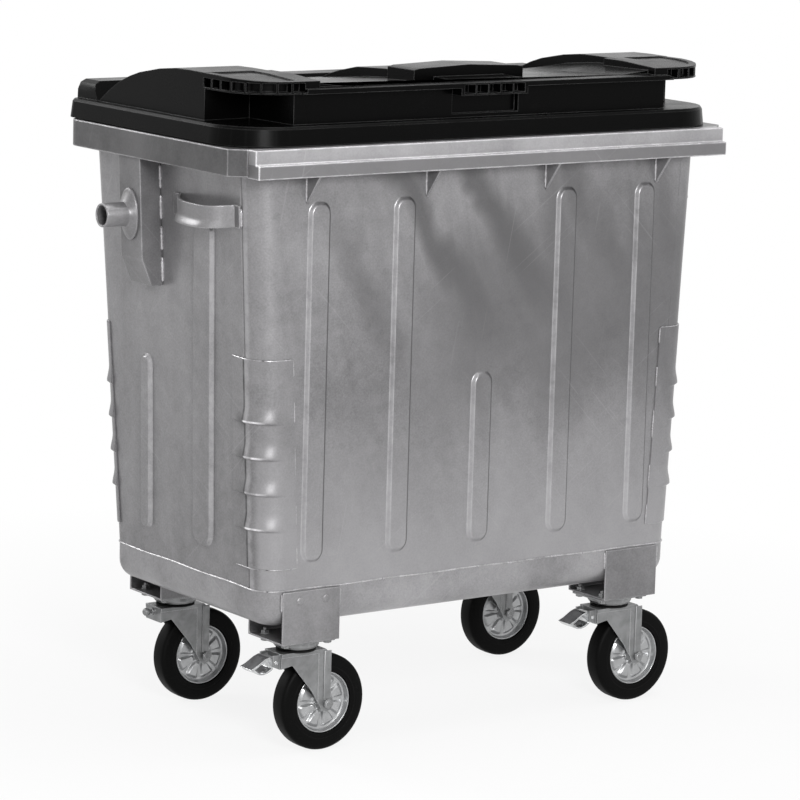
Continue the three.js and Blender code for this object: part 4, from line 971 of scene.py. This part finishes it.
# ---- Trunnion pins: an oval collar coned up to a pipe ----
CHANNEL_DEPTH, PIN_Y, PIN_Z, PIN_RADIUS, PIN_BORE = 0.048, 0.086, 1.066, 0.0245, 0.020
COLLAR_HALF, COLLAR_RISE, COLLAR_THICK, COLLAR_CONE = 0.032, 0.053, 0.004, 0.011
PIN_SIDES = 64


def pin_face(z):
    """How far out the bracket's face lies at a height."""
    return tub_half(z) + GAP + CHANNEL_DEPTH + GAP


def trunnion_pin(side):
    sign = SIDE_SIGN[side]
    end = cad_high.x

    def ring(half, rise, off, straight=None):
        points = []
        for k in range(PIN_SIDES):
            turn = 2 * math.pi * k / PIN_SIDES
            z = PIN_Z + rise * math.sin(turn)
            x = straight if straight is not None else pin_face(z) + off
            points.append(Vector((sign * x, PIN_Y + half * math.cos(turn), z)))
        return points

    root = pin_face(PIN_Z) + COLLAR_THICK
    rings = [ring(COLLAR_HALF, COLLAR_RISE, 0.0), ring(COLLAR_HALF, COLLAR_RISE, COLLAR_THICK * 0.8)]
    rings.append(ring(COLLAR_HALF - 0.0012, COLLAR_RISE - 0.0014, COLLAR_THICK + 0.0006))
    for k in range(1, 7):
        t = k / 6
        half = mix(COLLAR_HALF, PIN_RADIUS + 0.001, t ** 0.8)
        rise = mix(COLLAR_RISE, PIN_RADIUS + 0.002, t ** 0.8)
        rings.append(ring(half, rise, COLLAR_THICK + COLLAR_CONE * t))
    pipe = (
        (PIN_RADIUS, root + COLLAR_CONE + 0.003), (PIN_RADIUS, end - 0.0016),
        (PIN_RADIUS - 0.0005, end - 0.0005), (PIN_RADIUS - 0.0016, end),
        (PIN_BORE + 0.0008, end), (PIN_BORE, end - 0.0010), (PIN_BORE, root + 0.001))
    rings += [ring(r, r, 0, x) for r, x in pipe]
    bm = bmesh.new()
    skin_loops(bm, [[bm.verts.new(p) for p in points] for points in rings])
    return stand_in("trunnion_pin_" + side, bm, 32)


for side in ("left", "right"):
    side_handle(side)
    trunnion_pin(side)

# ---- Castor wheels ----
WHEEL_RADIUS, TYRE_HALF, SEAT_RADIUS = 0.1, 0.0225, 0.0643
DISC_RIBS, TYRE_STEPS, DISC_STEPS = 8, 96, 160
WEB_START, WEB_END = 0.0165, 0.0545


def turned(bm, profile_at, centre, sides):
    """A ring about Y; profile_at(angle) gives its closed [radius, y] outline."""
    rings = []
    for k in range(sides):
        turn = 2 * math.pi * k / sides
        spots = [Vector((r * math.sin(turn), y, r * math.cos(turn))) for r, y in profile_at(turn)]
        rings.append([bm.verts.new(centre + spot) for spot in spots])
    skin_loops(bm, rings + rings[:1], capped=False)


def tyre_profile(_turn):
    """Flat sides with a moulded line, round shoulders, and a slightly crowned tread."""
    shoulder = arc(WHEEL_RADIUS - 0.0095, TYRE_HALF - 0.0105, 0.0092, 75, 10, 6)
    side = [(SEAT_RADIUS, TYRE_HALF - 0.0035), (SEAT_RADIUS + 0.0012, TYRE_HALF - 0.0008)]
    side += [(SEAT_RADIUS + 0.006, TYRE_HALF), (SEAT_RADIUS + 0.0095, TYRE_HALF)]
    side += [(SEAT_RADIUS + 0.0103, TYRE_HALF - 0.0007)]
    side += [(SEAT_RADIUS + 0.0111, TYRE_HALF), (WHEEL_RADIUS - 0.0115, TYRE_HALF - 0.0006)]
    half = side + shoulder + [(WHEEL_RADIUS - 0.0002, 0.006), (WHEEL_RADIUS, 0.0015)]
    return half + [(r, -y) for r, y in reversed(half)]


def disc_profile(turn):
    """Hub, web with a raised rib, flare and rolled lip, on both faces."""
    phase = (turn / (2 * math.pi) * DISC_RIBS) % 1.0
    rib = smooth((0.5 - abs(phase - 0.5)) / 0.16 - 0.55)
    half = [(0.0072, 0.026), (0.0125, 0.026), (0.0138, 0.0247), (0.0142, 0.0205)]
    for k in range(13):
        r = mix(WEB_START, WEB_END, k / 12)
        lift = rib * smooth((r - WEB_START) / 0.006) * smooth((WEB_END - r) / 0.006)
        base = 0.0125 - 0.0055 * smooth((r - WEB_START) / 0.012)
        half.append((r, base + lift * (0.0070 - 0.0025 * (r - WEB_START) / (WEB_END - WEB_START))))
    half += [(0.0575, 0.0085), (0.0595, 0.0125), (0.0605, 0.0170)]
    half += [(0.0611, 0.0190), (0.0622, 0.0195), (0.0632, 0.0190), (0.0634, 0.0175)]
    return half + [(r, -y) for r, y in reversed(half)]


for end, side in CORNERS:
    low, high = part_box(f"tyre_{end}_{side}")
    centre = Vector(((low.x + high.x) / 2, (low.y + high.y) / 2, WHEEL_RADIUS))
    bm = bmesh.new()
    turned(bm, tyre_profile, centre, TYRE_STEPS)
    stand_in(f"tyre_{end}_{side}", bm, 30)
    bm = bmesh.new()
    turned(bm, disc_profile, centre, DISC_STEPS)
    stand_in(f"wheel_rim_{end}_{side}", bm, 28)

# ---- Castor bolts and seals ----
BOLT_X, BOLT_Y, BOLT_HALF, THREAD_END = 0.050, 0.038, 0.0075, 0.004
SHELF_THICK, HEAD_HEIGHT, FORK_DROP = 0.004, 0.0055, 0.026


def hexagon(bm, centre, axis, half, height, turn):
    """A hexagonal nut or bolt head with a chamfered outer face."""
    corner = half / math.cos(math.pi / 6)
    levels = ((corner, 0.0), (corner, height * 0.82), (corner * 0.86, height))
    rings = [circle(centre + axis * t, axis, r, 6, turn) for r, t in levels]
    skin_loops(bm, [[bm.verts.new(spot) for spot in ring] for ring in rings])


def bolt(bm, centre, axis, half, turn):
    """Washer, hexagon and the rounded end of the thread."""
    lathe(bm, [(0, 0.0001), (half * 1.35, 0.0001), (half * 1.35, 0.0011), (0, 0.0011)], centre, axis, 24)
    hexagon(bm, centre + axis * 0.0012, axis, half, half * 0.85, turn)
    top = 0.0012 + half * 0.85
    r = half * 0.55
    tip = top + THREAD_END
    thread = [(0, top - 0.001), (r, top - 0.001), (r, tip), (r * 0.8, tip + 0.0008), (0, tip + 0.001)]
    lathe(bm, thread, centre, axis, 16)


DOWN, UP = Vector((0, 0, -1)), Vector((0, 0, 1))
rng = random.Random(4)
for end, side in CORNERS:
    low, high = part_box(f"castor_head_{end}_{side}")
    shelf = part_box(f"castor_bracket_{end}_{side}")[0].z
    middle = (low + high) / 2
    bm = bmesh.new()
    for sx in (-1, 1):
        for sy in (-1, 1):
            spot = Vector((middle.x + sx * BOLT_X, middle.y + sy * BOLT_Y, shelf))
            turn = rng.uniform(0, 1)
            bolt(bm, spot + UP * SHELF_THICK, UP, BOLT_HALF, turn)
            hexagon(bm, spot + DOWN * HEAD_HEIGHT, DOWN, BOLT_HALF, HEAD_HEIGHT, turn)
    add_object(f"castor_bolts_{end}_{side}", bm, SLOT_MATERIALS["zinc_castor"], TUB_BODY, 25)
    fork = f"castor_fork_{end}_{side}"
    fork_top = high.z - FORK_DROP
    bm = bmesh.new()
    seal = [(0, -0.0002), (0.040, -0.0002), (0.0405, 0.0002), (0.0405, 0.0032), (0.040, 0.0035), (0, 0.0035)]
    lathe(bm, seal, Vector((middle.x, middle.y, fork_top + 0.0003)), UP, 48)
    add_object(f"castor_seal_{end}_{side}", bm, seam_dark, body_of[fork], 30)

# ---- The folded band down each fork leg, and the pimples pressed in the front left bracket ----
FORK_HALF, BAND_HALF, BAND_RISE = 0.031, 0.0085, 0.0026


def fork_bands(end, side):
    fork = f"castor_fork_{end}_{side}"
    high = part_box(fork)[1]
    wheel_low, wheel_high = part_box(f"tyre_{end}_{side}")
    x, middle = (wheel_low.x + wheel_high.x) / 2, (wheel_low.y + wheel_high.y) / 2
    bm = bmesh.new()
    for sign in (-1, 1):
        top, foot = high.z - 0.004, WHEEL_RADIUS + 0.013
        outline = [(-BAND_HALF, top), (BAND_HALF, top)]
        outline += [(a, foot + b) for a, b in arc(0, 0, BAND_HALF, 0, -180, 10)]
        levels = ((0.0, 0.0), (0.0, BAND_RISE * 0.6), (0.0008, BAND_RISE * 0.9), (0.0022, BAND_RISE))
        rings = []
        for inset, rise in levels:
            ring = []
            for a, z in outline:
                scale = 1 - inset / BAND_HALF
                y = middle + sign * (FORK_HALF + rise - 0.0001)
                ring.append(bm.verts.new((x + a * scale, y, z - (inset if z == top else 0))))
            rings.append(ring)
        skin_loops(bm, rings)
    material = SLOT_MATERIALS["zinc_castor"]
    add_object(f"castor_bands_{end}_{side}", bm, material, body_of[fork], 40)


for end, side in CORNERS:
    fork_bands(end, side)

bm = bmesh.new()
plate_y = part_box("castor_bracket_front_left")[0].y
PIMPLE_X, PIMPLE_Z = (-0.438, -0.375), 0.328
DOME = ((0, -0.0002), (0.0078, -0.0002), (0.0074, 0.0006), (0.0060, 0.0016), (0.0035, 0.0022), (0, 0.0024))
for x in PIMPLE_X:
    lathe(bm, DOME, Vector((x, plate_y, PIMPLE_Z)), Vector((0, -1, 0)), 24)
add_object("bracket_pimples", bm, SLOT_MATERIALS["galvanized_plate"], TUB_BODY, 50)

# ---- Welds ----
CHANNEL_EDGES, CHANNEL_LOW_Z, CHANNEL_TOP_Z, CHANNEL_WELDS = (0.0448, 0.1272), 0.925, 1.178, 4
GUARD_WELDS = ((0.0, 0.10), (0.18, 0.30), (0.44, 0.58), (0.70, 0.80), (0.92, 1.0))
WELD_OUT, END_WELD_OUT = 0.0012, 0.0006


def side_line(sign, y, heights):
    """Points up a leaning side of the tub."""
    return [Vector((sign * (tub_half(z) + WELD_OUT), y, z)) for z in heights]


def guard_edge(end, side, z):
    """The line of a guard's upper or lower edge."""
    return [guard_point(end, side, z, kind, value, WELD_OUT) for kind, value, _ in guard_path(end)]


bm = bmesh.new()
weld_bead(bm, plan(-0.0004, WELD_Z + GAP / 2), 0.0019, 0.0035, 3, closed=True)
for sign in (-1, 1):
    for k, y in enumerate(CHANNEL_EDGES):
        for i in range(CHANNEL_WELDS):
            shares = ((i + 0.08) / CHANNEL_WELDS, (i + 0.86) / CHANNEL_WELDS)
            heights = [mix(CHANNEL_LOW_Z, CHANNEL_TOP_Z, t) for t in shares]
            weld_bead(bm, side_line(sign, y, heights), 0.0030, 0.0038, 10 * k + i)
add_object("welds_tub", bm, weld_zinc, TUB_BODY, 50)

bm = bmesh.new()
for end, side in CORNERS:
    weld_bead(bm, guard_edge(end, side, GUARD_TOP + 0.0008), 0.0015, 0.0035, 21)
    weld_bead(bm, guard_edge(end, side, GUARD_LOW - 0.0008), 0.0015, 0.0035, 22)
    aside = Vector((-SIDE_SIGN[side] * 0.0008, 0, 0))
    for i, shares in enumerate(GUARD_WELDS):
        path = [guard_edge(end, side, mix(GUARD_LOW, GUARD_TOP, t))[-1] + aside for t in shares]
        weld_bead(bm, path, 0.0016, 0.0035, 30 + i)
add_object("welds_guards", bm, weld_zinc, TUB_BODY, 50)

bm = bmesh.new()
for end, side in CORNERS:
    low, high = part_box(f"castor_bracket_{end}_{side}")
    y = FRONT_Y - END_WELD_OUT if end == "front" else REAR_LOW + END_WELD_OUT
    for x, seed in ((low.x - 0.001, 41), (high.x + 0.001, 42)):
        path = [Vector((x, y, z)) for z in (high.z - 0.003, TRAY_Z + 0.036)]
        weld_bead(bm, path, 0.0026, 0.0035, seed)
for node in nodes:
    if node.startswith("comb_gusset"):
        low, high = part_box(node)
        for x, seed in ((low.x - 0.0004, 51), (high.x + 0.0004, 52)):
            path = [Vector((x, FRONT_Y - END_WELD_OUT, z)) for z in (low.z + 0.004, high.z - 0.004)]
            weld_bead(bm, path, 0.0022, 0.0034, seed)
    if node.startswith("side_handle"):
        low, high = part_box(node)
        sign = math.copysign(1, low.x)
        for y, seed in ((low.y - 0.001, 61), (high.y + 0.001, 62)):
            path = side_line(sign, y, (low.z + 0.006, high.z - 0.006))
            weld_bead(bm, path, 0.0028, 0.0036, seed)
add_object("welds_fittings", bm, weld_zinc, TUB_BODY, 50)


# ---- Floor, backdrop and light ----
FLOOR_REACH, FLOOR_STEPS, FLOOR_Z = 14.0, 28, -0.0005
FADE_START, FADE_END, FADE_LOW = 0.85, 2.1, 0.86


def make_floor():
    """A pale floor that keeps the object's shadow and turns into the white backdrop further out."""
    bm = bmesh.new()
    places = [FLOOR_REACH * (2 * i / FLOOR_STEPS - 1) for i in range(FLOOR_STEPS + 1)]
    grid = [[bm.verts.new((x, y, FLOOR_Z)) for y in places] for x in places]
    for i in range(FLOOR_STEPS):
        for j in range(FLOOR_STEPS):
            bm.faces.new((grid[i][j], grid[i + 1][j], grid[i + 1][j + 1], grid[i][j + 1]))
    mesh = bpy.data.meshes.new("floor")
    bm.to_mesh(mesh)
    bm.free()
    floor = bpy.data.objects.new("floor", mesh)
    scene.collection.objects.link(floor)
    material, make, shader = new_material("floor_pale")
    output = next(n for n in material.node_tree.nodes if n.type == "OUTPUT_MATERIAL")
    cloud = make.noise(make.place(), 3.0, 3.0)
    make.link(make.blend(cloud, grey(0.80), grey(0.84)), shader.inputs["Base Color"])
    shader.inputs["Roughness"].default_value = 0.9
    shader.inputs["Specular IOR Level"].default_value = 0.1
    glow = make.add("ShaderNodeEmission", {"Color": grey(1.0)})
    radius = make.add("ShaderNodeVectorMath", {0: make.place()}, operation="LENGTH").outputs["Value"]
    fade = make.span(radius, FADE_START, FADE_END, FADE_LOW, 1.0)
    mixed = make.add("ShaderNodeMixShader", {0: fade, 1: shader.outputs[0], 2: glow.outputs[0]})
    final = make.add("ShaderNodeMixShader", {0: make.seen(), 1: shader.outputs[0], 2: mixed.outputs[0]})
    make.link(final.outputs[0], output.inputs["Surface"])
    mesh.materials.append(material)


make_floor()

SKY_STRENGTH = 0.34
world = bpy.data.worlds.new("studio")
scene.world = world
world.use_nodes = True
world.node_tree.nodes.clear()
make = Nodes(world.node_tree)
sky = make.add("ShaderNodeBackground", {"Color": grey(1.0), "Strength": SKY_STRENGTH})
white = make.add("ShaderNodeBackground", {"Color": grey(1.0), "Strength": 1.0})
both = make.add("ShaderNodeMixShader", {0: make.seen(), 1: sky.outputs[0], 2: white.outputs[0]})
make.link(both.outputs[0], make.add("ShaderNodeOutputWorld").inputs["Surface"])


def area_light(name, place, aim, size, power):
    data = bpy.data.lights.new(name, "AREA")
    data.shape, data.size, data.energy = "SQUARE", size, power
    light = bpy.data.objects.new(name, data)
    light.location = place
    light.rotation_euler = (Vector(aim) - Vector(place)).to_track_quat("-Z", "Y").to_euler()
    scene.collection.objects.link(light)


area_light("key", (-2.0, -4.5, 2.6), (0, 0, 0.8), 1.4, 190)
area_light("top", (0.3, -0.6, 4.6), (0, 0, 0.6), 2.6, 80)
area_light("back", (-2.8, 4.4, 3.4), (0, 0, 0.8), 2.0, 90)
